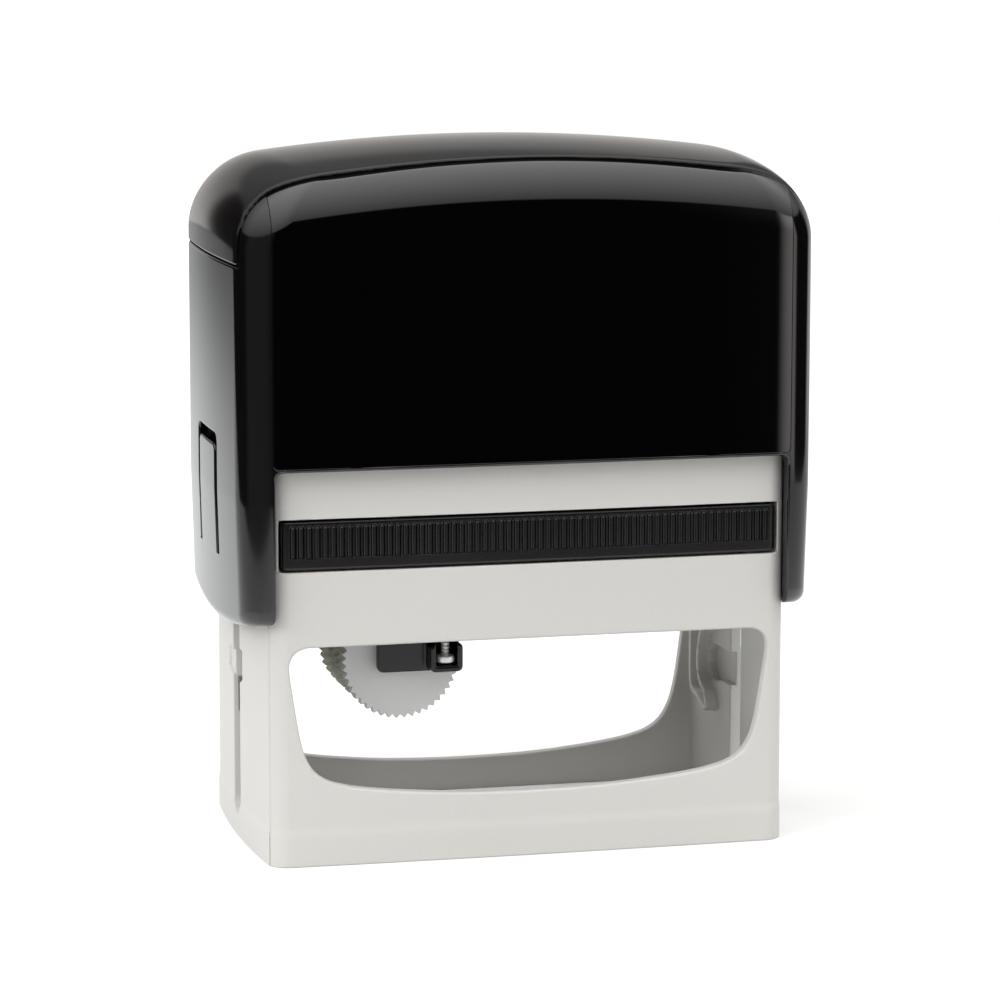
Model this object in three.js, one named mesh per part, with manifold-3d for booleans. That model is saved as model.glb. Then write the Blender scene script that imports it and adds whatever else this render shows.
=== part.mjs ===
// Self-inking date stamp, in millimetres. +Z is up, +X is right seen from the front, and the front is -Y.
// The origin is the centre of the base's footprint, on the surface that the stamp stands on.
import * as THREE from "three";
import { mergeVertices } from "three/addons/utils/BufferGeometryUtils.js";
import Module from "manifold-3d";

const wasm = await Module();
wasm.setup();

// Driving dimensions of the base: its walls bow outwards between the corners
const base_half_x = 44.5;
const base_half_y = 25.4;
const side_bow = 1.4;
const front_bow = 0.6;
const base_corner_r = 2.8;
const base_wall = 2.0;
const skirt_flare = 0.3;
const skirt_height = 5.2;
const skirt_slope_height = 0.7;

// Driving heights and lengths of the inking and printing motion
const pad_face_z = 50.0;
const die_gap = 0.3;
const die_to_pivot = 7.4;
const die_floor_gap = 0.1;
const travel = pad_face_z - die_gap - 2 * die_to_pivot - die_floor_gap;
const pivot_z = pad_face_z - die_gap - die_to_pivot;
const die_face_z = pad_face_z - die_gap;

// Clearances
const slide_gap = 0.4;
const seat_gap = 0.3;
const seam_gap = 0.25;
const run_gap = 0.6;
const overrun = 1.0;

// Ink cassette: a tray that slides into the front of the base, open below where the pad shows
const cassette_rim = 1.0;
const cassette_height = 7.9;
const cassette_roof = 1.5;
const cassette_inset_x = 1.6;
const cassette_flush = 0.1;
const cassette_rail = 1.4;
const cassette_low_z = pad_face_z - cassette_rim;
const cassette_top_z = cassette_low_z + cassette_height;
const cassette_half_x = base_half_x - side_bow - cassette_inset_x;
const grip_pitch = 1.36;
const grip_depth = 0.5;
const grip_margin_x = 1.4;
const grip_low_margin = 1.9;
const grip_top_margin = 0.7;
const grip_land_share = 0.5;

// Heights of the base above the cassette
const front_band = 8.4;
const hidden_band = 4.7;
const deck_thickness = 2.0;
const cap_front_low_z = cassette_top_z + front_band;
const base_top_z = cap_front_low_z + hidden_band;
const deck_low_z = cassette_top_z + seat_gap;
const deck_top_z = deck_low_z + deck_thickness;

// Windows in the front and rear walls of the base
const window_margin_x = 4.1;
const window_low_z = 10.9;
const rear_window_low_z = 5.6;
const window_band = 12.0;
const window_half_x = base_half_x - window_margin_x;
const window_top_z = cassette_low_z - window_band;
const window_outline_shares = [
  [0, 0],
  [0.28, 0.01],
  [0.55, 0.042],
  [0.72, 0.075],
  [0.8, 0.1],
  [0.855, 0.145],
  [0.89, 0.2],
  [0.917, 0.28],
  [0.94, 0.37],
  [0.985, 0.66],
  [1, 0.8],
  [0.995, 0.87],
  [0.975, 0.94],
  [0.94, 0.98],
  [0.89, 1],
];

// Pivot pins of the carriage and the slots that they run in
const pivot_pin_r = 2.9;
const slot_side_gap = 0.2;
const slot_end_gap = 1.0;
const pin_reach_in_wing = 1.9;
const pin_root = 3.6;
const slot_half_y = pivot_pin_r + slot_side_gap;
const slot_low_z = die_to_pivot + die_floor_gap - pivot_pin_r - slot_end_gap;
const slot_top_z = pivot_z + pivot_pin_r + slot_end_gap;

// Cam followers, and the rails on the inner side walls that they run between
const follower_offset = 6.0;
const follower_r = 1.8;
const follower_reach = 1.6;
const rail_reach = 1.5;
const rail_width = 1.1;
const rail_clear = 0.4;
const cam_steps = 14;

// Cross notch sunk into each side wall beside the slot: [y, z] over its half width and height
const notch_depth = 1.2;
const notch_half_y = 7.5;
const notch_height = 4.2;
const notch_rise = 5.2;
const notch_outline_shares = [
  [0.9, 0.0],
  [0.9, 0.74],
  [0.38, 0.74],
  [-0.35, 1.0],
  [-1.05, 0.95],
  [-1.05, 0.15],
  [-0.4, -0.3],
  [0.4, -0.2],
];

// Guide ribs of the cassette latch on the inner side walls: [y, z] as shares of the half depth and window height
const guide_rib_width = 1.0;
const guide_rib_reach = 1.3;
const outer_rib_shares = [
  [0.77, 1.3],
  [0.77, 0.28],
  [0.41, 0.16],
];
const inner_rib_shares = [
  [0.46, 0.75],
  [0.56, 0.62],
  [0.6, 0.46],
  [0.56, 0.34],
  [0.43, 0.27],
  [0.39, 0.16],
];

// Carriage that carries the printing plate
const die_side_room = 4.5;
const die_depth_room = 4.9;
const die_half_x = base_half_x - base_wall - die_side_room;
const die_half_y = base_half_y - base_wall - die_depth_room;
const pad_margin = 0.2;
const pad_room = 0.5;
const rubber_sheet = 1.4;
const rubber_relief = 1.0;
const plate_thickness = 1.3;
const carriage_plate = 1.7;
const carriage_end_wall = 1.8;
const carriage_end_half_y = 9.5;
const carriage_end_drop = 4.0;
const carriage_rib_height = 2.4;
const carriage_rib_width = 1.6;
const carriage_edge = 0.7;
const rubber_low_z = die_face_z - rubber_relief - rubber_sheet;
const plate_low_z = rubber_low_z - plate_thickness;
const carriage_top_z = plate_low_z;
const carriage_low_z = carriage_top_z - carriage_plate;
const carriage_half_x = base_half_x - base_wall - rail_reach - run_gap;
const carriage_half_y = die_half_y - carriage_edge;

// Date unit: thumbwheels on one axle, each driving a rubber band that runs over the nose bar
const date_share_x = -0.4315;
const wheel_drop = 11.2;
const wheel_tip_r = 9.95;
const tooth_depth = 0.75;
const tooth_count = 46;
const flange_share = 0.42;
const drum_r = 6.4;
const date_side_room = 6.2;
const wheel_gap = 0.4;
const wheel_width_shares = [0.19, 0.19, 0.31, 0.31];
const wheel_names = ["day_tens", "day_units", "month", "year"];
const band_seat = 0.3;
const band_thickness = 1.0;
const digit_relief = 0.6;
const digit_height = 2.4;
const digit_count = 12;
const band_side_gap = 0.25;
const nose_r = 2.0;
const axle_r = 1.1;
const axle_gap = 0.15;
const date_x = base_half_x * date_share_x;
const wheel_z = pivot_z - wheel_drop;
const nose_z = die_face_z - digit_relief - band_thickness - band_seat - nose_r;
const stack_half_y = die_half_y - date_side_room;

// Black cradle of the date unit: two cheeks, a web between them, and an ear for the screw on each cheek
const cheek_gap = 0.5;
const cheek_thickness = 1.7;
const cheek_left = 4.7;
const cheek_right = 9.4;
const cheek_below_axle = 1.7;
const cheek_corner_r = 0.9;
const prong_half_x = 3.0;
const prong_cover = 0.1;
const spigot_r = 0.75;
const web_thickness = 1.4;
const web_height = 5.4;
const ear_width = 5.5;
const ear_depth = 3.2;
const ear_height = 4.3;
const ear_floor = 1.9;
const cheek_inner_y = stack_half_y + cheek_gap;
const cheek_outer_y = cheek_inner_y + cheek_thickness;
const cheek_low_z = wheel_z - cheek_below_axle;
const screw_x = date_x + cheek_right - ear_width / 2;
const screw_y = cheek_outer_y + ear_depth / 2;
const screw_head_r = 1.45;
const screw_head_height = 1.1;
const screw_shank_r = 0.65;
const date_opening_margin = 1.0;
const band_slot_margin = 1.3;

// Cap: wings on both sides run down over the base, and the front and rear walls end higher
const cap_side_wall = 4.1;
const cap_front_wall = 2.3;
const cap_corner_r = 7.2;
const cap_side_bow = 1.4;
const cap_front_bow = 0.5;
const cap_head = 11.1;
const cap_top_gap = 0.5;
const arch_radius = 290;
const crown_radius = 203;
const side_fillet_x = 12.5;
const side_fillet_z = 11.5;
const front_fillet_y = 5.0;
const front_fillet_z = 9.0;
const wing_taper = 0.6;
const wing_taper_height = 22;
const wing_floor_gap = 2.8;
const wing_edge_rise = 3.4;
const wing_corner_r = 2.5;
const wing_return = 0.3;
const opening_corner_r = 1.4;
const cap_half_x = base_half_x + slide_gap + cap_side_wall;
const cap_half_y = base_half_y + slide_gap + cap_front_wall;
const cavity_top_z = base_top_z + travel + cap_top_gap;
const cap_top_z = cavity_top_z + cap_head;
const wing_low_z = travel + wing_floor_gap;
const opening_half_x = base_half_x - side_bow + wing_return;

// Top cover of the cap, between the two seams
const cover_thickness = 1.4;
const cover_seam_depth = 4.3;
const cover_side_height = 18.2;
const shell_under_cover = 1.6;
const cover_half_y = cap_half_y - cover_seam_depth;
const cover_low_z = cap_top_z - cover_side_height;
const cover_bed = cover_thickness + seam_gap;

// Clear covers on the front and rear of the cap, each over a thin card, which end at the same seams
const panel_thickness = 1.0;
const panel_seam_gap = 0.3;
const card_thickness = 0.25;
const card_gap = 0.2;
const panel_side_margin = 0.2;
const panel_low_margin = 1.1;
const panel_corner_r = 1.2;
const card_margin = 1.0;
const card_top_margin = 3.4;
const panel_half_x = opening_half_x - panel_side_margin;
const panel_low_z = cap_front_low_z + panel_low_margin;
const card_top_z = cap_top_z - front_fillet_z - card_top_margin;

// Lock tongues in the wings: spring fingers that are pressed inwards
const tongue_half_y = 6.2;
const tongue_slit = 0.8;
const tongue_top_slit = 1.9;
const tongue_height = 17.4;
const tongue_thickness = 2.1;
const tongue_above_pin = 4.1;
const tongue_nub = 0.6;
const tongue_nub_height = 2.0;
const tongue_low_z = pivot_z + pivot_pin_r + tongue_above_pin + seat_gap;
const tongue_top_z = tongue_low_z + tongue_height;

// Return springs between the deck of the base and the ceiling of the cap
const spring_share_x = 0.67;
const spring_mean_r = 5.5;
const spring_wire_r = 0.55;
const spring_turns = 11;
const turn_steps = 8;
const wire_sides = 5;
const spring_post_gap = 0.6;
const lower_post_height = 3.0;
const upper_post_height = 4.0;
const ceiling_pad_depth = 1.2;
const ceiling_pad_margin = 1.6;
const spring_x = base_half_x * spring_share_x;
const ceiling_z = cap_top_z - cover_bed - shell_under_cover;
const spring_roof_z = ceiling_z - (spring_x * spring_x) / (2 * arch_radius) - ceiling_pad_depth;
const spring_low_z = deck_top_z + seat_gap;
const spring_top_z = spring_roof_z - seat_gap;
const post_r = spring_mean_r - spring_wire_r - spring_post_gap;

// Print layout of the rubber die: a border and plain lines, as shares of the half width and half depth
const border_width = 0.9;
const border_inset = 0.6;
const line_half_height = 0.9;
const line_places_shares = [
  [-0.93, -0.66, 0.0],
  [-0.1, 0.85, 0.66],
  [-0.1, 0.6, 0.33],
  [-0.1, 0.75, 0.0],
  [-0.1, 0.5, -0.33],
  [-0.1, 0.85, -0.66],
];

// Sampling of curved outlines
const corner_steps = 4;
const side_steps = 4;
const front_steps = 8;
const fillet_steps = 5;
const round_sides = 18;
const roof_ring_shares = [0.72, 0.4];
const smallest_r = 0.6;

// Closed three.js geometry to a solid
function solid(geometry) {
  const plain = geometry.index ? geometry.toNonIndexed() : geometry.clone();
  for (const name of Object.keys(plain.attributes)) {
    if (name !== "position") plain.deleteAttribute(name);
  }
  const merged = mergeVertices(plain, 1e-4);
  return new wasm.Manifold(
    new wasm.Mesh({
      numProp: 3,
      vertProperties: new Float32Array(merged.attributes.position.array),
      triVerts: new Uint32Array(merged.index.array),
    }),
  );
}

// Solid back to a three.js geometry
function geometryOf(body) {
  const made = body.getMesh();
  const geometry = new THREE.BufferGeometry();
  geometry.setAttribute("position", new THREE.BufferAttribute(made.vertProperties, 3));
  geometry.setIndex(new THREE.BufferAttribute(made.triVerts, 1));
  geometry.computeVertexNormals();
  return geometry;
}

function box(x0, x1, y0, y1, z0, z1) {
  const geometry = new THREE.BoxGeometry(x1 - x0, y1 - y0, z1 - z0);
  geometry.translate((x0 + x1) / 2, (y0 + y1) / 2, (z0 + z1) / 2);
  return solid(geometry);
}

function extruded(points, depth) {
  const shape = new THREE.Shape(points.map(([u, v]) => new THREE.Vector2(u, v)));
  return new THREE.ExtrudeGeometry(shape, { depth, bevelEnabled: false, steps: 1 });
}

// Prism of an [x, y] outline between two heights
function prismZ(points, z0, z1) {
  return solid(extruded(points, z1 - z0).translate(0, 0, z0));
}

// Prism of an [x, z] outline between two depths
function prismY(points, y0, y1) {
  return solid(
    extruded(points, y1 - y0)
      .rotateX(Math.PI / 2)
      .translate(0, y1, 0),
  );
}

// Prism of a [y, z] outline between two places along X
function prismX(points, x0, x1) {
  const turn = new THREE.Matrix4().makeBasis(
    new THREE.Vector3(0, 1, 0),
    new THREE.Vector3(0, 0, 1),
    new THREE.Vector3(1, 0, 0),
  );
  return solid(
    extruded(points, x1 - x0)
      .applyMatrix4(turn)
      .translate(x0, 0, 0),
  );
}

function rodX(r, x0, x1, y, z) {
  const geometry = new THREE.CylinderGeometry(r, r, x1 - x0, round_sides);
  return solid(geometry.rotateZ(-Math.PI / 2).translate((x0 + x1) / 2, y, z));
}

function rodY(r, x, y0, y1, z) {
  const geometry = new THREE.CylinderGeometry(r, r, y1 - y0, round_sides);
  return solid(geometry.translate(x, (y0 + y1) / 2, z));
}

function rodZ(r, x, y, z0, z1) {
  const geometry = new THREE.CylinderGeometry(r, r, z1 - z0, round_sides);
  return solid(geometry.rotateX(Math.PI / 2).translate(x, y, (z0 + z1) / 2));
}

// Points of an arc, both ends included
function arc(cx, cy, rx, ry, from, to, steps) {
  const points = [];
  for (let i = 0; i <= steps; i++) {
    const a = from + ((to - from) * i) / steps;
    points.push([cx + rx * Math.cos(a), cy + ry * Math.sin(a)]);
  }
  return points;
}

// Rectangle with rounded corners, as [u, v] points
function roundedBox(u0, u1, v0, v1, r) {
  const q = Math.PI / 2;
  return [
    ...arc(u1 - r, v0 + r, r, r, -q, 0, corner_steps),
    ...arc(u1 - r, v1 - r, r, r, 0, q, corner_steps),
    ...arc(u0 + r, v1 - r, r, r, q, 2 * q, corner_steps),
    ...arc(u0 + r, v0 + r, r, r, 2 * q, 3 * q, corner_steps),
  ];
}

// Plan outline with bowed sides and rounded corners, counterclockwise from the middle of the right side
function plan(half_x, half_y, bow_x, bow_y, r) {
  const cx = half_x - bow_x * (1 - r / half_y) ** 2 - r;
  const cy = half_y - bow_y * (1 - r / half_x) ** 2 - r;
  const quarter = [];
  for (let i = 0; i < side_steps; i++) {
    const share = i / side_steps;
    quarter.push([half_x - (half_x - cx - r) * share ** 2, cy * share]);
  }
  quarter.push(...arc(cx, cy, r, r, 0, Math.PI / 2, corner_steps));
  for (let i = front_steps - 1; i >= 0; i--) {
    const share = i / front_steps;
    quarter.push([cx * share, half_y - (half_y - cy - r) * share ** 2]);
  }
  const inner = quarter.slice(0, -1);
  const turned = quarter.slice(1);
  return [
    ...inner,
    ...turned.map(([x, y]) => [-x, y]).reverse(),
    ...inner.map(([x, y]) => [-x, -y]),
    ...turned.map(([x, y]) => [x, -y]).reverse(),
  ];
}

function basePlan(inset) {
  const r = Math.max(base_corner_r - inset, smallest_r);
  return plan(base_half_x - inset, base_half_y - inset, side_bow, front_bow, r);
}

// Distance of the base's bowed front wall from the middle plane, at a place along X
function frontWallY(x) {
  return base_half_y - front_bow * Math.min(1, (x / base_half_x) ** 2);
}

// Closed skin through rings of equal point counts, with a fan at each end
function loft(rings, low_centre, top_centre) {
  const count = rings[0].length;
  const points = [low_centre, ...rings.flat(), top_centre];
  const last = points.length - 1;
  const faces = [];
  for (let i = 0; i < count; i++) {
    const j = (i + 1) % count;
    faces.push(0, 1 + j, 1 + i);
    for (let k = 0; k + 1 < rings.length; k++) {
      const a = 1 + k * count;
      const b = a + count;
      faces.push(a + i, a + j, b + j, a + i, b + j, b + i);
    }
    faces.push(last, last - count + i, last - count + j);
  }
  const geometry = new THREE.BufferGeometry();
  geometry.setAttribute("position", new THREE.Float32BufferAttribute(points.flat(), 3));
  geometry.setIndex(faces);
  return geometry;
}

// Outer form of the cap, or the same form set inwards by an even distance
function capForm(inset) {
  const half_x = cap_half_x - inset;
  const half_y = cap_half_y - inset;
  const r = Math.max(cap_corner_r - inset, smallest_r);
  const flat_x = half_x - cap_side_bow * (1 - r / half_y) ** 2 - r;
  const outline = plan(half_x, half_y, cap_side_bow, cap_front_bow, r);
  const roof = (x, y) => {
    return cap_top_z - inset - (x * x) / (2 * arch_radius) - (y * y) / (2 * crown_radius);
  };
  const low_share = 1 - wing_taper / cap_half_x;
  const rings = [
    outline.map(([x, y]) => [x * low_share, y, 0]),
    outline.map(([x, y]) => [x * low_share, y, wing_low_z]),
    outline.map(([x, y]) => [x, y, wing_low_z + wing_taper_height]),
  ];
  const atFillet = (angle, size) => {
    const share_x = size * (1 - ((side_fillet_x - inset) * (1 - Math.cos(angle))) / half_x);
    const share_y = size * (1 - ((front_fillet_y - inset) * (1 - Math.cos(angle))) / half_y);
    return outline.map(([x, y]) => {
      const side = Math.min(1, Math.max(0, (Math.abs(x) - flat_x) / r));
      const depth = front_fillet_z + (side_fillet_z - front_fillet_z) * side - inset;
      const px = x * share_x;
      const py = y * share_y;
      return [px, py, roof(px, py) - depth * (1 - Math.sin(angle))];
    });
  };
  for (let i = 0; i <= fillet_steps; i++) {
    rings.push(atFillet((Math.PI / 2) * (i / fillet_steps), 1));
  }
  for (const share of roof_ring_shares) rings.push(atFillet(Math.PI / 2, share));
  return solid(loft(rings, [0, 0, 0], [0, 0, roof(0, 0)]));
}

// Place of the cam follower on the carriage's way down, from 0 at rest to 1 when printing
function followerPlace(share) {
  const turn = Math.PI * share;
  return [follower_offset * Math.cos(turn), pivot_z - travel * share + follower_offset * Math.sin(turn)];
}

// Strip between two offsets along a line of [y, z] points
function strip(line, near, far) {
  const side = (distance) =>
    line.map(([u, v], i) => {
      const a = line[Math.max(0, i - 1)];
      const b = line[Math.min(line.length - 1, i + 1)];
      const length = Math.hypot(b[0] - a[0], b[1] - a[1]);
      return [u - ((b[1] - a[1]) / length) * distance, v + ((b[0] - a[0]) / length) * distance];
    });
  return [...side(near), ...side(far).reverse()];
}

// Same solid on both sides of the middle plane X = 0
function bothSides(body) {
  return body.add(body.mirror([1, 0, 0]));
}

function bothEnds(body) {
  return body.add(body.mirror([0, 1, 0]));
}

function windowOutline(low_z) {
  const height = window_top_z - low_z;
  const right = window_outline_shares.map(([u, v]) => [u * window_half_x, low_z + v * height]);
  const left = right.slice(1).map(([x, z]) => [-x, z]);
  return [...right, ...left.reverse()];
}

function slotOutline() {
  return [
    ...arc(0, slot_low_z + slot_half_y, slot_half_y, slot_half_y, Math.PI, 2 * Math.PI, corner_steps),
    [slot_half_y, slot_top_z],
    [-slot_half_y, slot_top_z],
  ];
}

function camRails() {
  const line = [];
  for (let i = 0; i <= cam_steps; i++) line.push(followerPlace(i / cam_steps));
  const near = follower_r + rail_clear;
  const x0 = base_half_x - base_wall - rail_reach;
  const x1 = base_half_x - base_wall / 2;
  const rails = prismX(strip(line, near + rail_width, near), x0, x1).add(
    prismX(strip(line, -near, -near - rail_width), x0, x1),
  );
  const rib_x0 = base_half_x - base_wall - side_bow - guide_rib_reach;
  const rib = (shares) => {
    const height = window_top_z - window_low_z;
    const points = shares.map(([u, v]) => [u * base_half_y, window_low_z + v * height]);
    return prismX(strip(points, guide_rib_width / 2, -guide_rib_width / 2), rib_x0, x1 - side_bow);
  };
  return rails.add(rib(outer_rib_shares)).add(rib(inner_rib_shares));
}

function baseFrame() {
  const flared = basePlan(-skirt_flare);
  const straight = basePlan(0);
  const at = (points, z) => points.map(([x, y]) => [x, y, z]);
  const outer = solid(
    loft(
      [
        at(flared, 0),
        at(flared, skirt_height),
        at(straight, skirt_height + skirt_slope_height),
        at(straight, base_top_z),
      ],
      [0, 0, 0],
      [0, 0, base_top_z],
    ),
  );
  const inner = basePlan(base_wall);
  const rail_low_z = cassette_low_z - seat_gap - cassette_rail;
  const bay_half_x = cassette_half_x + seat_gap;
  const inner_half_y = base_half_y - base_wall - front_bow;
  const mouth_x = die_half_x + pad_room + pad_margin;
  const outside_x = base_half_x + overrun;
  const outside_y = base_half_y + overrun;
  let body = outer
    .subtract(prismZ(inner, -overrun, rail_low_z))
    .subtract(box(-mouth_x, mouth_x, -inner_half_y, inner_half_y, rail_low_z - overrun, cassette_top_z))
    .subtract(box(-bay_half_x, bay_half_x, -outside_y, inner_half_y, cassette_low_z - seat_gap, deck_low_z))
    .subtract(prismZ(inner, deck_top_z, base_top_z + overrun));
  body = body
    .subtract(prismY(windowOutline(window_low_z), -outside_y, 0))
    .subtract(prismY(windowOutline(rear_window_low_z), 0, outside_y));
  const notch_z = pivot_z - travel / 2 + notch_rise - notch_height / 2;
  const notch = notch_outline_shares.map(([u, v]) => [u * notch_half_y, notch_z + v * notch_height]);
  const slot_x0 = carriage_half_x;
  body = body
    .add(bothSides(camRails()))
    .subtract(bothSides(prismX(slotOutline(), slot_x0, outside_x)))
    .subtract(bothSides(prismX(notch, base_half_x - notch_depth, outside_x)));
  const post = rodZ(post_r, spring_x, 0, deck_top_z - deck_thickness / 2, deck_top_z + lower_post_height);
  return body.add(bothSides(post));
}

function inkCassette() {
  const rear_y = base_half_y - base_wall - front_bow - seat_gap;
  const front_y = base_half_y + overrun;
  const tray = box(-cassette_half_x, cassette_half_x, -front_y, rear_y, cassette_low_z, cassette_top_z);
  const pad_x = die_half_x + pad_room;
  const pad_y = die_half_y + pad_room;
  const hollow_top_z = cassette_top_z - cassette_roof;
  const hollow = box(-pad_x, pad_x, -pad_y, pad_y, cassette_low_z - overrun, hollow_top_z);
  return tray
    .intersect(prismZ(basePlan(cassette_flush), cassette_low_z - overrun, cassette_top_z + overrun))
    .subtract(hollow)
    .subtract(gripGrooves());
}

// Comb of grooves in the cassette's front, which follow its bow
function gripGrooves() {
  const reach = cassette_half_x - grip_margin_x;
  const count = Math.max(1, Math.floor((2 * reach) / grip_pitch));
  const groove = grip_pitch * (1 - grip_land_share);
  const first = (-count * grip_pitch) / 2 + (grip_pitch - groove) / 2;
  const floor = (x) => -(frontWallY(x) - cassette_flush - grip_depth);
  const outside_y = -(base_half_y + overrun);
  const mouth = (x) => -frontWallY(x) - overrun / 2;
  const points = [];
  for (let i = 0; i < count; i++) {
    const x = first + i * grip_pitch;
    points.push([x, mouth(x)], [x, floor(x)], [x + groove, floor(x + groove)], [x + groove, mouth(x + groove)]);
  }
  points.reverse();
  const end_x = reach + grip_margin_x;
  points.push([-end_x, mouth(end_x)], [-end_x, outside_y - overrun], [end_x, outside_y - overrun]);
  points.push([end_x, mouth(end_x)]);
  return prismZ(points, cassette_low_z + grip_low_margin, cassette_top_z - grip_top_margin);
}

function inkPad() {
  const x = die_half_x + pad_margin;
  const y = die_half_y + pad_margin;
  return box(-x, x, -y, y, pad_face_z, cassette_top_z - cassette_roof - seat_gap);
}

function wingFloorOutline() {
  const reach = cap_half_y + overrun;
  const points = [];
  const steps = 4 * corner_steps;
  for (let i = 0; i <= steps; i++) {
    const y = -reach + (2 * reach * i) / steps;
    const past = Math.min(wing_corner_r, Math.max(0, Math.abs(y) - (cap_half_y - wing_corner_r)));
    const round = wing_corner_r - Math.sqrt(wing_corner_r ** 2 - past ** 2);
    points.push([y, wing_low_z + wing_edge_rise * (y / cap_half_y) ** 2 + round]);
  }
  points.push([reach, -overrun], [-reach, -overrun]);
  return points.reverse();
}

// Outline of the clear cover as [x, z] points, open upwards past the cap's top
function panelOutline(margin) {
  const x1 = panel_half_x - margin;
  const z0 = panel_low_z + margin;
  const r = panel_corner_r;
  const q = Math.PI / 2;
  const top_z = cap_top_z + overrun;
  return [
    ...arc(r - x1, z0 + r, r, r, 2 * q, 3 * q, corner_steps),
    ...arc(x1 - r, z0 + r, r, r, -q, 0, corner_steps),
    [x1, top_z],
    [-x1, top_z],
  ];
}

function panelZone(margin) {
  return prismY(panelOutline(margin), cover_half_y + margin, cap_half_y + overrun);
}

function capCavity() {
  const outline = basePlan(-slide_gap);
  const straight = prismZ(outline, -overrun, cavity_top_z);
  const low_z = cavity_top_z - overrun;
  const inside = cover_bed + shell_under_cover;
  const head = capForm(inside).intersect(
    box(-cap_half_x, cap_half_x, -cap_half_y, cap_half_y, low_z, cap_top_z),
  );
  return straight.add(head);
}

function frontOpening() {
  const r = opening_corner_r;
  const y0 = base_half_y - base_corner_r;
  const outline = roundedBox(-opening_half_x, opening_half_x, -overrun, cap_front_low_z, r);
  return bothEnds(prismY(outline, y0, cap_half_y + overrun));
}

function springPosts() {
  const pad_r = spring_mean_r + spring_wire_r + ceiling_pad_margin;
  const roof_z = ceiling_z + shell_under_cover / 2 - (spring_x * spring_x) / (2 * arch_radius);
  const pad = rodZ(pad_r, spring_x, 0, spring_roof_z, roof_z);
  const post = rodZ(post_r, spring_x, 0, spring_roof_z - upper_post_height, roof_z);
  return bothSides(pad.add(post));
}

function capShell() {
  const outer = capForm(0);
  const bed = box(
    -cap_half_x,
    cap_half_x,
    -cover_half_y,
    cover_half_y,
    cover_low_z - seam_gap,
    cap_top_z + overrun,
  );
  const side_x = cap_half_x + overrun;
  const tongue_y = tongue_half_y + tongue_slit;
  const tongue_mouth = box(
    base_half_x - side_bow,
    side_x,
    -tongue_y,
    tongue_y,
    tongue_low_z - seat_gap,
    tongue_top_z + tongue_top_slit,
  );
  const hole_end = base_half_x + slide_gap + pin_reach_in_wing + seat_gap;
  const pin_hole = rodX(pivot_pin_r + seat_gap, base_half_x - side_bow, hole_end, 0, pivot_z);
  return outer
    .subtract(bed)
    .subtract(bothEnds(panelZone(0)))
    .add(capForm(cover_bed))
    .subtract(capCavity())
    .subtract(prismX(wingFloorOutline(), -side_x, side_x))
    .subtract(frontOpening())
    .subtract(bothSides(tongue_mouth))
    .subtract(bothSides(pin_hole))
    .add(springPosts());
}

function topCover() {
  const zone = box(
    -cap_half_x,
    cap_half_x,
    -cover_half_y + seam_gap,
    cover_half_y - seam_gap,
    cover_low_z,
    cap_top_z + overrun,
  );
  return capForm(0).intersect(zone).subtract(capForm(cover_thickness));
}

function clearPanel() {
  return capForm(0).intersect(panelZone(panel_seam_gap / 2)).subtract(capForm(panel_thickness));
}

function panelCard() {
  const x = panel_half_x - card_margin;
  const y0 = base_half_y - front_bow;
  const place = box(-x, x, y0, cap_half_y, panel_low_z + card_margin, card_top_z);
  const front = panel_thickness + card_gap;
  return capForm(front).subtract(capForm(front + card_thickness)).intersect(place);
}

function lockTongue() {
  const outer_x = cap_half_x + overrun;
  const inner_x = cap_half_x - tongue_thickness;
  const blade = box(inner_x, outer_x, -tongue_half_y, tongue_half_y, tongue_low_z, tongue_top_z);
  const nub_y = tongue_half_y / 2;
  const nub_top_z = tongue_top_z - tongue_nub_height;
  const nub = box(
    inner_x - tongue_nub,
    inner_x + tongue_thickness / 2,
    -nub_y,
    nub_y,
    nub_top_z - tongue_nub_height,
    nub_top_z,
  );
  return blade.intersect(capForm(0)).add(nub);
}

// Helical spring of one round wire, with a closed end turn at both seats
function springGeometry() {
  const low_z = spring_low_z + spring_wire_r;
  const height = spring_top_z - spring_low_z - 2 * spring_wire_r;
  const steps = spring_turns * turn_steps;
  const centre = (i) => {
    const turn = (2 * Math.PI * i) / turn_steps;
    const z = low_z + (height * i) / steps;
    return new THREE.Vector3(spring_mean_r * Math.cos(turn), spring_mean_r * Math.sin(turn), z);
  };
  const rings = [];
  for (let i = 0; i <= steps; i++) {
    const point = centre(i);
    const outward = new THREE.Vector3(point.x, point.y, 0).normalize();
    const along = centre(i + 1).sub(centre(i - 1)).normalize();
    const upward = new THREE.Vector3().crossVectors(along, outward);
    const ring = [];
    for (let k = 0; k < wire_sides; k++) {
      const a = (2 * Math.PI * k) / wire_sides;
      const place = point
        .clone()
        .addScaledVector(outward, spring_wire_r * Math.cos(a))
        .addScaledVector(upward, spring_wire_r * Math.sin(a));
      ring.push(place.toArray());
    }
    rings.push(ring);
  }
  return loft(rings, centre(0).toArray(), centre(steps).toArray());
}

// Least gap between neighbouring turns of the spring, measured on points of its centre line
function springGap() {
  const height = spring_top_z - spring_low_z - 2 * spring_wire_r;
  let least = Infinity;
  for (let i = 0; i < turn_steps * spring_turns; i++) {
    for (let j = i + turn_steps / 2; j <= turn_steps * spring_turns; j++) {
      const turn = (2 * Math.PI * (j - i)) / turn_steps;
      const across = 2 * spring_mean_r * Math.sin(turn / 2);
      const rise = (height * (j - i)) / (turn_steps * spring_turns);
      least = Math.min(least, Math.hypot(across, rise) - 2 * spring_wire_r);
    }
  }
  return least;
}

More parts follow.
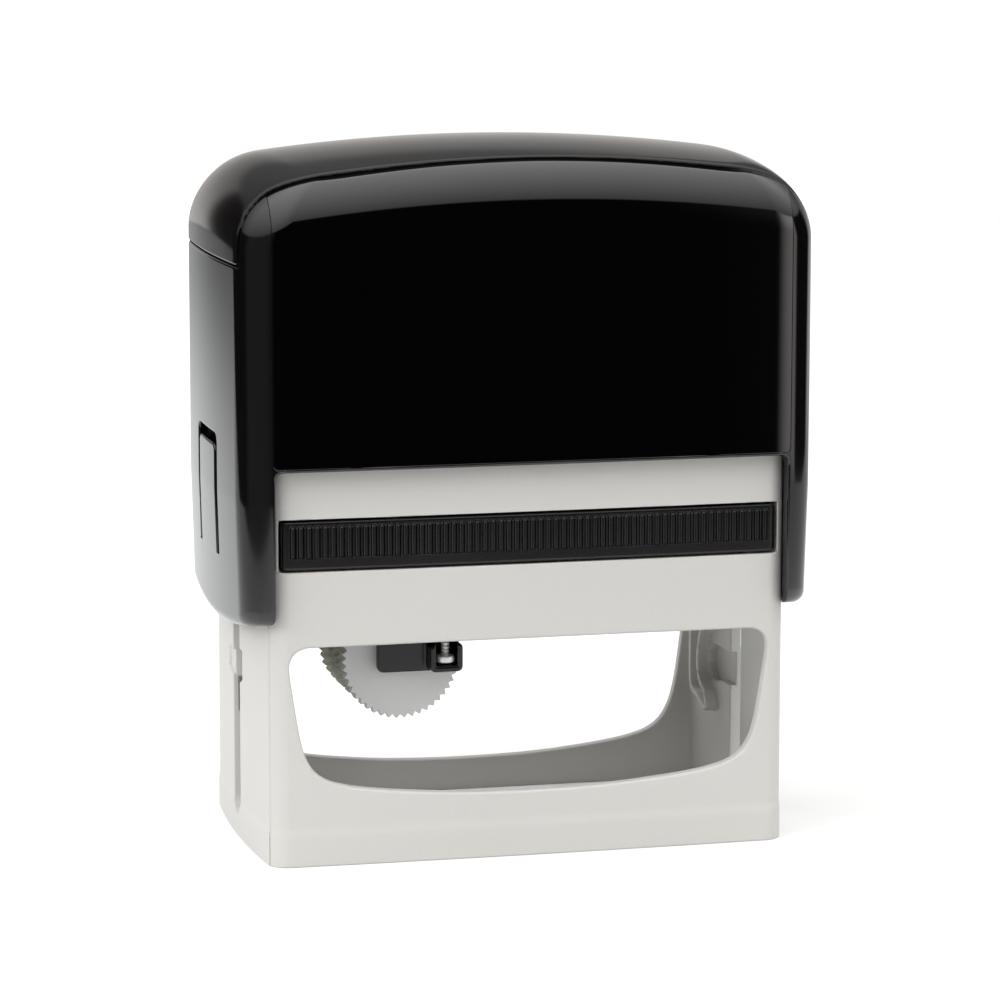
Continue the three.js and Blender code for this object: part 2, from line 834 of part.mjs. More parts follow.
function carriageFrame() {
  const x = carriage_half_x;
  const y = carriage_half_y;
  const plate = box(-die_half_x, die_half_x, -y, y, carriage_low_z, carriage_top_z).add(
    box(-x, x, -carriage_end_half_y, carriage_end_half_y, carriage_low_z, carriage_top_z),
  );
  const end_low_z = pivot_z - carriage_end_drop;
  const end = box(
    x - carriage_end_wall,
    x,
    -carriage_end_half_y,
    carriage_end_half_y,
    end_low_z,
    carriage_top_z,
  );
  const rib_y0 = y - carriage_rib_width;
  const rib_low_z = carriage_low_z - carriage_rib_height;
  const rib = box(-die_half_x, die_half_x, rib_y0, y, rib_low_z, carriage_top_z);
  const hub_r = pivot_pin_r + seat_gap + carriage_end_wall;
  const hub = rodX(hub_r, x - pin_root, x, 0, pivot_z);
  const hub_zone = box(x - pin_root, x, -hub_r, hub_r, pivot_z - hub_r, carriage_top_z);
  const pin_hole = rodX(pivot_pin_r + seat_gap, x - pin_root, x + overrun, 0, pivot_z);
  const pin_floor = box(
    x - pin_root - carriage_end_wall,
    x - pin_root,
    -hub_r,
    hub_r,
    end_low_z,
    carriage_top_z,
  );
  const follower_hole = rodX(
    follower_r + seat_gap / 2,
    x - carriage_end_wall - overrun,
    x + overrun,
    follower_offset,
    pivot_z,
  );
  const opening_x = drum_r + band_seat + band_thickness + digit_relief + date_opening_margin;
  const opening_y = stack_half_y + seat_gap;
  const z0 = carriage_low_z - overrun;
  const z1 = carriage_top_z + overrun;
  const opening = box(date_x - opening_x, date_x + opening_x, -opening_y, opening_y, z0, z1);
  const prong_x = prong_half_x + seat_gap;
  const prong_y = cheek_outer_y + seat_gap;
  const prong_slot = box(date_x - prong_x, date_x + prong_x, -prong_y, prong_y, z0, z1);
  const shank_hole = rodZ(screw_shank_r + seat_gap, screw_x, screw_y, z0 - carriage_rib_height, z1);
  return plate
    .add(bothSides(end))
    .add(bothSides(hub.intersect(hub_zone)))
    .add(bothSides(pin_floor))
    .add(bothEnds(rib))
    .subtract(opening)
    .subtract(prong_slot)
    .subtract(bothSides(pin_hole))
    .subtract(bothSides(follower_hole))
    .subtract(bothEnds(shank_hole));
}

function pivotPin() {
  const x0 = carriage_half_x - pin_root + seat_gap;
  const x1 = base_half_x + slide_gap + pin_reach_in_wing;
  return rodX(pivot_pin_r, x0, x1, 0, pivot_z);
}

function followerPin() {
  const x0 = carriage_half_x - carriage_end_wall;
  return rodX(follower_r, x0, carriage_half_x + follower_reach, follower_offset, pivot_z);
}

// Opening over the date bands in the plate and the rubber
function bandSlot(half_y, z0, z1) {
  const half_x = nose_r + band_seat + band_thickness + band_slot_margin;
  return box(date_x - half_x, date_x + half_x, -half_y, half_y, z0, z1);
}

function textPlate() {
  const sheet = box(-die_half_x, die_half_x, -die_half_y, die_half_y, plate_low_z, rubber_low_z);
  const slot_y = cheek_outer_y + seat_gap;
  return sheet.subtract(bandSlot(slot_y, plate_low_z - overrun, rubber_low_z + overrun));
}

function textDie() {
  const x = die_half_x;
  const y = die_half_y;
  const relief_z = rubber_low_z + rubber_sheet;
  const sunk_z = relief_z - rubber_sheet / 2;
  let body = box(-x, x, -y, y, rubber_low_z, relief_z);
  const frame_x = x - border_inset;
  const frame_y = y - border_inset;
  const border = box(-frame_x, frame_x, -frame_y, frame_y, sunk_z, die_face_z).subtract(
    box(
      border_width - frame_x,
      frame_x - border_width,
      border_width - frame_y,
      frame_y - border_width,
      sunk_z - overrun,
      die_face_z + overrun,
    ),
  );
  body = body.add(border);
  for (const [u0, u1, v] of line_places_shares) {
    const line_y = v * y;
    const line = box(u0 * x, u1 * x, line_y - line_half_height, line_y + line_half_height, sunk_z, die_face_z);
    body = body.add(line);
  }
  return body.subtract(bandSlot(stack_half_y + seat_gap, rubber_low_z - overrun, die_face_z + overrun));
}

// Cheek of the cradle as [x, z] points: a plate round the axle with a prong up to the nose bar
function cheekOutline() {
  const x0 = date_x - cheek_left;
  const x1 = date_x + cheek_right;
  const shoulder_z = carriage_low_z - seat_gap;
  const tip_z = rubber_low_z - prong_cover;
  const r = cheek_corner_r;
  return [
    ...arc(x0 + r, cheek_low_z + r, r, r, Math.PI, 1.5 * Math.PI, corner_steps),
    ...arc(x1 - r, cheek_low_z + r, r, r, 1.5 * Math.PI, 2 * Math.PI, corner_steps),
    [x1, shoulder_z],
    [date_x + prong_half_x, shoulder_z],
    [date_x + prong_half_x, tip_z],
    [date_x - prong_half_x, tip_z],
    [date_x - prong_half_x, shoulder_z],
    [x0, shoulder_z],
  ];
}

function dateUnitFrame() {
  const x1 = date_x + cheek_right;
  const shoulder_z = carriage_low_z - seat_gap;
  const cheeks = bothEnds(prismY(cheekOutline(), cheek_inner_y, cheek_outer_y));
  const web = box(
    x1 - web_thickness,
    x1,
    -cheek_inner_y - cheek_thickness / 2,
    cheek_inner_y + cheek_thickness / 2,
    shoulder_z - web_height,
    shoulder_z,
  );
  const ear_outline = roundedBox(
    x1 - ear_width,
    x1,
    cheek_low_z,
    cheek_low_z + ear_height,
    cheek_corner_r,
  );
  const ear = prismY(ear_outline, cheek_outer_y - cheek_thickness / 2, cheek_outer_y + ear_depth);
  const cup_z = cheek_low_z + ear_floor;
  const cup_r = screw_head_r + seat_gap;
  const cup = rodZ(cup_r, screw_x, screw_y, cup_z, cheek_low_z + ear_height + overrun);
  const cup_mouth = box(
    screw_x - cup_r,
    screw_x + cup_r,
    screw_y,
    screw_y + ear_depth,
    cup_z,
    cheek_low_z + ear_height + overrun,
  );
  const axle_hole = rodY(axle_r + axle_gap, date_x, -cheek_inner_y - cheek_thickness / 2,
    cheek_inner_y + cheek_thickness / 2, wheel_z);
  const spigot_hole = rodY(spigot_r + axle_gap, date_x, -cheek_outer_y - overrun,
    cheek_outer_y + overrun, nose_z);
  return cheeks
    .add(web)
    .add(bothEnds(ear))
    .subtract(bothEnds(cup.add(cup_mouth)))
    .subtract(axle_hole)
    .subtract(spigot_hole);
}

function dateScrew() {
  const head_z = cheek_low_z + ear_floor + seat_gap;
  const head = rodZ(screw_head_r, screw_x, screw_y, head_z, head_z + screw_head_height);
  const shank = rodZ(screw_shank_r, screw_x, screw_y, head_z + screw_head_height / 2, carriage_top_z);
  return head.add(shank);
}

function wheelAxle() {
  const end_y = cheek_inner_y + cheek_thickness / 2 - seat_gap / 2;
  return rodY(axle_r, date_x, -end_y, end_y, wheel_z);
}

function noseBar() {
  const body_y = cheek_inner_y - seat_gap;
  return rodY(nose_r, date_x, -body_y, body_y, nose_z).add(
    rodY(spigot_r, date_x, -cheek_outer_y, cheek_outer_y, nose_z),
  );
}

// Start and end of each thumbwheel along Y
function wheelSpans() {
  const free = 2 * stack_half_y - wheel_gap * (wheel_names.length - 1);
  const spans = [];
  let y = -stack_half_y;
  for (const share of wheel_width_shares) {
    spans.push([y, y + share * free]);
    y += share * free + wheel_gap;
  }
  return spans;
}

function toothedOutline() {
  const points = [];
  for (let i = 0; i < tooth_count; i++) {
    const tip = (2 * Math.PI * i) / tooth_count;
    const root = tip + Math.PI / tooth_count;
    const root_r = wheel_tip_r - tooth_depth;
    points.push([date_x + wheel_tip_r * Math.cos(tip), wheel_z + wheel_tip_r * Math.sin(tip)]);
    points.push([date_x + root_r * Math.cos(root), wheel_z + root_r * Math.sin(root)]);
  }
  return points;
}

function flangeSpan(index) {
  const [y0, y1] = wheelSpans()[index];
  return [y0, y0 + (y1 - y0) * flange_share];
}

function thumbwheel(index) {
  const [y0, y1] = wheelSpans()[index];
  const [f0, f1] = flangeSpan(index);
  return prismY(toothedOutline(), f0, f1)
    .add(rodY(drum_r, date_x, y0, y1, wheel_z))
    .subtract(rodY(axle_r + axle_gap, date_x, y0 - overrun, y1 + overrun, wheel_z));
}

// Loop round the wheel's drum and the nose bar at a distance from both, with [x, z] points
function bandLoop(distance) {
  const low_r = drum_r + distance;
  const top_r = nose_r + distance;
  const lean = Math.asin((low_r - top_r) / (nose_z - wheel_z));
  return [
    ...arc(date_x, nose_z, top_r, top_r, lean, Math.PI - lean, 2 * corner_steps),
    ...arc(date_x, wheel_z, low_r, low_r, Math.PI - lean, 2 * Math.PI + lean, 4 * corner_steps),
  ];
}

// Places of the raised characters, evenly along the outside of the band from the nose
function digitPlaces() {
  const loop = bandLoop(band_seat + band_thickness);
  loop.push(loop[0]);
  const at = [0];
  for (let i = 1; i < loop.length; i++) {
    at.push(at[i - 1] + Math.hypot(loop[i][0] - loop[i - 1][0], loop[i][1] - loop[i - 1][1]));
  }
  const start = at[corner_steps];
  const whole = at[at.length - 1];
  const places = [];
  for (let n = 0; n < digit_count; n++) {
    const along = (start + (whole * n) / digit_count) % whole;
    const i = at.findIndex((value) => value > along);
    const share = (along - at[i - 1]) / (at[i] - at[i - 1]);
    const [ax, az] = loop[i - 1];
    const [bx, bz] = loop[i];
    places.push([ax + (bx - ax) * share, az + (bz - az) * share, Math.atan2(bz - az, bx - ax)]);
  }
  places[0] = [date_x, nose_z + nose_r + band_seat + band_thickness, Math.PI];
  return places;
}

function dateBand(index) {
  const b0 = flangeSpan(index)[1] + band_side_gap;
  const b1 = wheelSpans()[index][1] - band_side_gap;
  let body = prismY(bandLoop(band_seat + band_thickness), b0, b1).subtract(
    prismY(bandLoop(band_seat), b0 - overrun, b1 + overrun),
  );
  const margin = band_side_gap;
  for (const [x, z, angle] of digitPlaces()) {
    const block = new THREE.BoxGeometry(digit_height, b1 - b0 - 2 * margin, band_thickness + digit_relief);
    block
      .translate(0, 0, (band_thickness - digit_relief) / 2)
      .rotateY(-angle)
      .translate(x, (b0 + b1) / 2, z);
    body = body.add(solid(block));
  }
  return body.subtract(prismY(bandLoop(band_seat), b0 - overrun, b1 + overrun));
}

function plastic(color, roughness) {
  return new THREE.MeshStandardMaterial({ color, roughness, metalness: 0 });
}

function metal(color, roughness) {
  return new THREE.MeshStandardMaterial({ color, roughness, metalness: 1 });
}

const materials = {
  base: () => plastic(0xdedcd6, 0.5),
  gloss_black: () => plastic(0x0b0a0c, 0.12),
  satin_black: () => plastic(0x1b1b1b, 0.4),
  clear: () => plastic(0x2a2a2c, 0.05),
  pad: () => plastic(0x1d2440, 0.9),
  wheel: () => plastic(0xbec2c2, 0.55),
  rubber: () => plastic(0xa85a48, 0.8),
  band: () => plastic(0xb9b4aa, 0.85),
  plate: () => plastic(0xd8d8d4, 0.5),
  steel: () => metal(0xb8bbbd, 0.3),
};

function piece(name, body, material) {
  const mesh = new THREE.Mesh(geometryOf(body), material());
  mesh.name = name;
  return mesh;
}

const stamp = new THREE.Group();

function baseGroup() {
  const group = new THREE.Group();
  group.add(piece("base_frame", baseFrame(), materials.base));
  group.add(piece("ink_cassette", inkCassette(), materials.satin_black));
  group.add(piece("ink_pad", inkPad(), materials.pad));
  for (const [side, sign] of [["left", -1], ["right", 1]]) {
    const spring = new THREE.Mesh(springGeometry(), materials.steel());
    spring.name = `return_spring_${side}`;
    spring.position.x = sign * spring_x;
    group.add(spring);
  }
  return group;
}

function capGroup() {
  const group = new THREE.Group();
  group.add(piece("cap_shell", capShell(), materials.gloss_black));
  group.add(piece("top_cover", topCover(), materials.gloss_black));
  for (const [end, turn] of [["front", Math.PI], ["rear", 0]]) {
    const panel = piece(`${end}_panel`, clearPanel(), materials.clear);
    const card = piece(`${end}_card`, panelCard(), materials.satin_black);
    panel.rotation.z = turn;
    card.rotation.z = turn;
    group.add(panel, card);
  }
  for (const [side, turn] of [["left", Math.PI], ["right", 0]]) {
    const tongue = piece(`lock_tongue_${side}`, lockTongue(), materials.gloss_black);
    tongue.rotation.z = turn;
    group.add(tongue);
  }
  return group;
}

function carriageGroup() {
  const group = new THREE.Group();
  group.add(piece("carriage_frame", carriageFrame(), materials.satin_black));
  group.add(piece("text_plate", textPlate(), materials.plate));
  group.add(piece("text_die", textDie(), materials.rubber));
  for (const [side, sign] of [["left", -1], ["right", 1]]) {
    const pin = sign > 0 ? pivotPin() : pivotPin().mirror([1, 0, 0]);
    const follower = sign > 0 ? followerPin() : followerPin().mirror([1, 0, 0]);
    group.add(piece(`pivot_pin_${side}`, pin, materials.steel));
    group.add(piece(`follower_pin_${side}`, follower, materials.steel));
  }
  return group;
}

function dateUnitGroup() {
  const group = new THREE.Group();
  group.add(piece("date_unit_frame", dateUnitFrame(), materials.satin_black));
  group.add(piece("wheel_axle", wheelAxle(), materials.steel));
  group.add(piece("nose_bar", noseBar(), materials.steel));
  wheel_names.forEach((name, index) => {
    group.add(piece(`thumbwheel_${name}`, thumbwheel(index), materials.wheel));
    group.add(piece(`date_band_${name}`, dateBand(index), materials.band));
  });
  group.add(piece("date_screw_rear", dateScrew(), materials.steel));
  group.add(piece("date_screw_front", dateScrew().mirror([0, 1, 0]), materials.steel));
  return group;
}

stamp.add(baseGroup(), capGroup(), carriageGroup(), dateUnitGroup());
console.log(`return springs: least gap between turns ${springGap().toFixed(2)} mm`);

export default stamp;
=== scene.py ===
"""Looks of the self-inking date stamp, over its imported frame.

Each piece is a form: a function of x, y and z in millimetres that is negative inside, in the frame's own axes. It
is made of simpler ones with both, cut and join, and meshed on a grid of planes that lie closer together round its
edges. The last number that both, cut and join take is the radius of the edge between the two forms. After the
pieces come the pale floor, the soft room light and the camera.
"""

import math

import bpy
import numpy as np
from mathutils import Matrix


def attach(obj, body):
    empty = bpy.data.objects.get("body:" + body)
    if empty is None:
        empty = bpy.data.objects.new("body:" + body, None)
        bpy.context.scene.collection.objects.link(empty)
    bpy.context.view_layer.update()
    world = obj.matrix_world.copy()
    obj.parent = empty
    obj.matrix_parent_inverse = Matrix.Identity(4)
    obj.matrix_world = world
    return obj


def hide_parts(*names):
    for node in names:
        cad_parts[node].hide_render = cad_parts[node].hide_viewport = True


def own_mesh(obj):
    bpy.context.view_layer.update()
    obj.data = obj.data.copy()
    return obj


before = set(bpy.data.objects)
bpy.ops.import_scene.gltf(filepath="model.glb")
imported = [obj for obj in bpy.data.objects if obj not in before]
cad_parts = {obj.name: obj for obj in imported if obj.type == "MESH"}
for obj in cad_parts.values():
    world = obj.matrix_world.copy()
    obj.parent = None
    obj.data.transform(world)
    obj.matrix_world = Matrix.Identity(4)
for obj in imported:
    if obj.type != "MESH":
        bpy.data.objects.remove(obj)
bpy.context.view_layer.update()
MM = 0.001

# Base: half width and depth, how far its walls bow in towards their ends, corner radius
BASE_X, BASE_Y, BASE_BOW_X, BASE_BOW_Y, BASE_R = 44.5, 25.4, 1.4, 0.6, 2.8
BASE_TOP, WALL = 70.0, 2.0
FLARE, FLARE_TOP, FLARE_HEIGHT = 0.17, 6.6, 1.8

# Cap: the same, its roof's height and radii, and width and depth of the roof's rounded edge at the sides and front
CAP_X, CAP_Y, CAP_BOW_X, CAP_BOW_Y, CAP_R = 49.0, 28.1, 1.4, 0.5, 7.2
CAP_TOP, ROOF_RADIUS_X, ROOF_RADIUS_Y = 116.4, 290.0, 203.0
FILLET_X, FILLET_XZ, FILLET_Y, FILLET_YZ = 11.2, 10.8, 5.0, 9.0
WING_LOW, WING_RISE = 37.6, 3.4
WING_TAPER, TAPER_TOP, TAPER_HEIGHT, TAPER_X, TAPER_REACH = 0.6, 59.6, 22.0, 40.0, 8.0
ROOM_TOP, HEAD_LOW, HEAD_WALL = 106.0, 105.0, 3.25
OPENING_X, OPENING_Y, OPENING_TOP = 42.85, 22.6, 65.3
SLIDE_GAP = 0.4

# Cover and panels on the cap: their low edges, the panels' half width, their thickness and the depth of their beds
COVER_LOW, COVER_THICK = 98.2, 1.4
PANEL_LOW, PANEL_X, PANEL_THICK = 65.75, 43.2, 1.0
PANEL_TOP = 140.0  # above the roof: the seam ends the panels there
BED, SEAM_GAP, PANEL_LAP = 1.65, 0.25, 0.5

# Lock tongue in the wing and the window round it
TONGUE_LOW, TONGUE_TOP, TONGUE_Y, TONGUE_HALF, TONGUE_ROOT = 49.2, 67.2, 1.25, 6.95, 1.5
ROOT_STEP, TONGUE_INNER, WINDOW_INNER = 0.03, 46.9, 43.0
TONGUE_WINDOW_TOP, TONGUE_WINDOW_Y, TONGUE_WINDOW_HALF = 69.1, 0.8, 8.4


def signed_box(u, v, hu, hv, r=0.0):
    """Rectangle of half sizes hu and hv with rounded corners."""
    qu, qv = np.abs(u) - (hu - r), np.abs(v) - (hv - r)
    return np.hypot(np.maximum(qu, 0), np.maximum(qv, 0)) + np.minimum(np.maximum(qu, qv), 0) - r


def both(a, b, r=0.0):
    """Overlap of two forms, with a rounded edge."""
    if r <= 0:
        return np.maximum(a, b)
    return np.minimum(np.maximum(a, b), -r) + np.hypot(np.maximum(a + r, 0), np.maximum(b + r, 0))


def cut(a, b, r=0.0):
    return both(a, -b, r)


def join(a, b, r=0.0):
    return -both(-a, -b, r)


def span(v, lo, hi):
    """Negative between lo and hi."""
    return np.abs(v - (lo + hi) / 2) - (hi - lo) / 2


def smooth(t):
    """Soft step from 0 to 1."""
    t = np.clip(t, 0, 1)
    return t * t * (3 - 2 * t)


def polygon(points, u, v):
    """Signed distance to a closed outline, negative inside."""
    p = np.asarray(points, float)
    u, v = np.broadcast_arrays(u, v)
    best = np.full(u.shape, 1e18)
    flip = np.zeros(u.shape, bool)
    for (ax, ay), (bx, by) in zip(p, np.roll(p, -1, 0)):
        ex, ey = bx - ax, by - ay
        wx, wy = u - ax, v - ay
        t = np.clip((wx * ex + wy * ey) / (ex * ex + ey * ey), 0, 1)
        best = np.minimum(best, (wx - ex * t) ** 2 + (wy - ey * t) ** 2)
        crosses = (ay > v) != (by > v)
        if ey != 0:
            flip ^= crosses & (u < ax + ex * (v - ay) / ey)
    return np.sqrt(best) * np.where(flip, -1, 1)


def smooth_line(points, per=10, closed=False):
    """Catmull-Rom curve through the points."""
    p = np.asarray(points, float)
    n = len(p)
    out = []
    last = n if closed else n - 1
    for i in range(last):
        if closed:
            a, b, c, d = p[i - 1], p[i], p[(i + 1) % n], p[(i + 2) % n]
        else:
            a, b, c, d = p[max(i - 1, 0)], p[i], p[i + 1], p[min(i + 2, n - 1)]
        for t in np.arange(per) / per:
            out.append(
                0.5 * (2 * b + (c - a) * t + (2 * a - 5 * b + 4 * c - d) * t * t + (3 * b - a - 3 * c + d) * t**3)
            )
    if not closed:
        out.append(p[-1])
    return np.array(out)


def plan(x, y, hx, hy, bx, by, r):
    """Plan outline with bowed sides and rounded corners."""
    return signed_box(np.abs(x) + bx * (y / hy) ** 2, np.abs(y) + by * (x / hx) ** 2, hx, hy, r)


def base_plan(x, y, inset=0.0):
    r = np.maximum(BASE_R - inset, 0.6)
    return plan(x, y, BASE_X - inset, BASE_Y - inset, BASE_BOW_X, BASE_BOW_Y, r)


def edge_share(x, y, hx, hy, r, a, b):
    """How far in from the plan outline a point lies, 0 on it and 1 where the roof's rounded edge ends.

    The share k is the one whose outline, drawn in by a * k and b * k, runs through the point. It is found by secant
    steps.
    """
    least, most, usual_slope = -0.8, 1.7, 8.0

    def gap(k):
        return plan(x / (1 - a * k), y / (1 - b * k), hx, hy, CAP_BOW_X, CAP_BOW_Y, r)

    k0 = np.zeros(np.broadcast(x, y).shape)
    g0 = gap(k0)
    k1 = np.clip(-g0 / usual_slope, least, most)
    for _ in range(7):
        g1 = gap(k1)
        slope = np.where(np.abs(k1 - k0) > 1e-9, (g1 - g0) / np.where(k1 == k0, 1, k1 - k0), usual_slope)
        k2 = np.clip(k1 - g1 / np.clip(slope, 2.0, 40.0), least, most)
        k0, g0, k1 = k1, g1, k2
    return k1


def cap_form(x, y, z, inset=0.0):
    """Outer form of the cap: bowed plan, crowned roof, and elliptical edges between them."""
    hx, hy = CAP_X - inset, CAP_Y - inset
    r = max(CAP_R - inset, 0.6)
    a, b = (FILLET_X - inset) / hx, (FILLET_Y - inset) / hy
    k = edge_share(x, y, hx, hy, r, a, b)
    side = smooth((np.abs(x / (1 - a * k)) - (hx - CAP_BOW_X - r)) / r)
    depth = FILLET_YZ + (FILLET_XZ - FILLET_YZ) * side - inset
    wide = FILLET_Y + (FILLET_X - FILLET_Y) * side - inset
    roof = CAP_TOP - inset - x * x / (2 * ROOF_RADIUS_X) - y * y / (2 * ROOF_RADIUS_Y)
    s, t = 1 - k, (z - roof) / depth + 1
    sp, tp = np.maximum(s, 0), np.maximum(t, 0)
    far = np.hypot(sp, tp)
    scale = np.where(far > 1e-9, (wide * sp**2 + depth * tp**2) / np.maximum(far, 1e-9) ** 2, 5.0)
    body = np.where((s > 0) & (t > 0), (far - 1) * scale, np.maximum((s - 1) * wide, (t - 1) * depth))
    taper = WING_TAPER * np.clip((TAPER_TOP - z) / TAPER_HEIGHT, 0, 1)
    return body + taper * np.clip((np.abs(x) - TAPER_X) / TAPER_REACH, 0, 1)


def lines(lo, hi, step, fine=(), small=0.15, reach=0.5):
    """Grid planes along one axis, closer together round the places in fine."""
    marks = [lo + (hi - lo) * i / math.ceil((hi - lo) / step) for i in range(math.ceil((hi - lo) / step) + 1)]
    close = []
    for c in fine:
        n = int(round(2 * reach / small))
        close += [c - reach + small * i for i in range(n + 1)]
    close = [c for c in close if lo < c < hi]
    keep = [m for m in marks if all(abs(m - c) > reach + 0.3 * step for c in fine)]
    merged = sorted(keep + close + [lo, hi])
    out = [merged[0]]
    for m in merged[1:]:
        if m - out[-1] > 0.45 * small:
            out.append(m)
    return np.array(out)


def across(half, step, fine=(), small=0.15, reach=0.5):
    """Grid planes from -half to half, closer together round the places in fine, on both sides."""
    return lines(-half, half, step, sorted({v for c in fine for v in (c, -c)}), small, reach)


def merged(*planes):
    """One sorted set of grid planes from several."""
    return np.unique(np.concatenate(planes))


def surface_net(form, X, Y, Z):
    """Vertices and quads of the zero surface of form on a rectilinear grid."""
    V = np.broadcast_to(form(X[:, None, None], Y[None, :, None], Z[None, None, :]), (len(X), len(Y), len(Z)))
    inside = V < 0
    corners = [(a, b, c) for a in (0, 1) for b in (0, 1) for c in (0, 1)]
    nx, ny, nz = len(X) - 1, len(Y) - 1, len(Z) - 1
    count = np.zeros((nx, ny, nz), np.uint8)
    for a, b, c in corners:
        count += inside[a : a + nx, b : b + ny, c : c + nz]
    active = (count > 0) & (count < 8)
    ids = np.full(active.shape, -1, np.int64)
    I, J, K = np.nonzero(active)
    ids[I, J, K] = np.arange(len(I))
    value = {(a, b, c): V[I + a, J + b, K + c] for a, b, c in corners}
    place = np.zeros((len(I), 3))
    number = np.zeros(len(I))
    for a, b, c in corners:
        for axis in range(3):
            if (a, b, c)[axis]:
                continue
            q = [a, b, c]
            q[axis] = 1
            va, vb = value[a, b, c], value[tuple(q)]
            hit = (va < 0) != (vb < 0)
            t = np.where(hit, va / np.where(hit, va - vb, 1), 0)
            pt = np.stack([X[I + a], Y[J + b], Z[K + c]], 1)
            qt = np.stack([X[I + q[0]], Y[J + q[1]], Z[K + q[2]]], 1)
            place += np.where(hit[:, None], pt + (qt - pt) * t[:, None], 0)
            number += hit
    place /= number[:, None]
    quads = []
    for axis in range(3):
        low = [slice(1, -1)] * 3
        high = [slice(1, -1)] * 3
        low[axis], high[axis] = slice(0, -1), slice(1, None)
        A, B = inside[tuple(low)], inside[tuple(high)]
        change = np.nonzero(A != B)
        idx = [c + 1 for c in change]
        idx[axis] = change[axis]
        u, v = (axis + 1) % 3, (axis + 2) % 3
        ring = []
        for du, dv in ((1, 1), (0, 1), (0, 0), (1, 0)):
            at = [i.copy() for i in idx]
            at[u] -= du
            at[v] -= dv
            ring.append(ids[tuple(at)])
        ring = np.stack(ring, 1)
        outward = A[change]
        ring[~outward] = ring[~outward][:, ::-1]
        quads.append(ring)
    return place, np.concatenate(quads)


def gradient(form, P, h=0.015):
    """Slopes of the form at the points, over a distance of h to both sides."""
    out = np.empty_like(P)
    for i in range(3):
        d = np.zeros(3)
        d[i] = h
        a, b = P + d, P - d
        out[:, i] = form(a[:, 0], a[:, 1], a[:, 2]) - form(b[:, 0], b[:, 1], b[:, 2])
    return out / (2 * h)


def settle(form, P, steps=3):
    """Moves the points onto the surface, and gives its outward directions there."""
    for _ in range(steps):
        f = form(P[:, 0], P[:, 1], P[:, 2])
        g = gradient(form, P)
        g2 = np.maximum((g * g).sum(1), 0.05)
        step = (f / g2)[:, None] * g
        size = np.linalg.norm(step, axis=1, keepdims=True)
        P = P - step * np.minimum(1, 0.25 / np.maximum(size, 1e-9))
    g = gradient(form, P)
    return P, g / np.maximum(np.linalg.norm(g, axis=1, keepdims=True), 1e-9)


def add_mesh(name, P, faces, normals, material):
    """Object from points in millimetres, with its own normals."""
    mesh = bpy.data.meshes.new(name)
    mesh.from_pydata((P * MM).tolist(), [], faces.tolist())
    mesh.polygons.foreach_set("use_smooth", np.ones(len(mesh.polygons), bool))
    mesh.normals_split_custom_set_from_vertices(normals.tolist())
    mesh.materials.append(material)
    mesh.update()
    obj = bpy.data.objects.new(name, mesh)
    bpy.context.scene.collection.objects.link(obj)
    return obj


def piece(name, form, grid, body, material, nodes):
    """A piece of the stamp from its form, which rides on a body and stands for CAD nodes."""
    P, quads = surface_net(form, *grid)
    P, N = settle(form, P)
    obj = add_mesh(name, P, quads, N, material)
    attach(obj, body)
    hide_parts(*nodes)
    print(f"{name}: {len(P)} points, {len(quads)} faces")
    return obj


# Across the cap: x, distance of the seam from the middle plane, and width of the groove along it
SEAM = smooth_line([
    (0, 24.4, 0.85), (14, 24.5, 0.8), (26, 24.65, 0.72), (33, 24.65, 0.72), (37, 24.3, 0.85), (40.2, 23.5, 0.95),
    (42.8, 22.6, 0.95), (45.3, 22.0, 0.85), (46.9, 22.05, 0.7), (48.2, 22.5, 0.6), (50, 23.0, 0.6),
], 12)


def seam(x):
    """Distance of the long seams from the middle plane, across the cap."""
    return np.interp(np.abs(x), SEAM[:, 0], SEAM[:, 1])


def cover_half(x):
    """Distance of the cover's edge from the middle plane."""
    return seam(x) - np.interp(np.abs(x), SEAM[:, 0], SEAM[:, 2])


def cover_zone(x, y, z):
    """Bed of the top cover, with the groove round it."""
    return both(np.abs(y) - seam(x), COVER_LOW - SEAM_GAP - z)


def panel_outline(x, z, inset=0.0):
    """Front view of a panel, which the seam ends at the top."""
    middle, half = (PANEL_LOW + PANEL_TOP) / 2, (PANEL_TOP - PANEL_LOW) / 2
    return signed_box(x, z - middle, PANEL_X - inset, half - inset, 0.7)


def panel_zone(x, y, z):
    """Beds of both panels."""
    return both(seam(x) - PANEL_LAP - np.abs(y), panel_outline(x, z))


def wing_floor(y, z):
    """Low edge of the wings, lowest in the middle."""
    return WING_LOW + WING_RISE * (y / CAP_Y) ** 2 - z


def tongue_window(x, y, z):
    """Window in each wing, which runs on below the tongue's root."""
    low, top = TONGUE_LOW - 3, TONGUE_WINDOW_TOP
    slot = signed_box(y - TONGUE_WINDOW_Y, z - (low + top) / 2, TONGUE_WINDOW_HALF, (top - low) / 2, 1.5)
    return np.maximum(slot, WINDOW_INNER - np.abs(x))


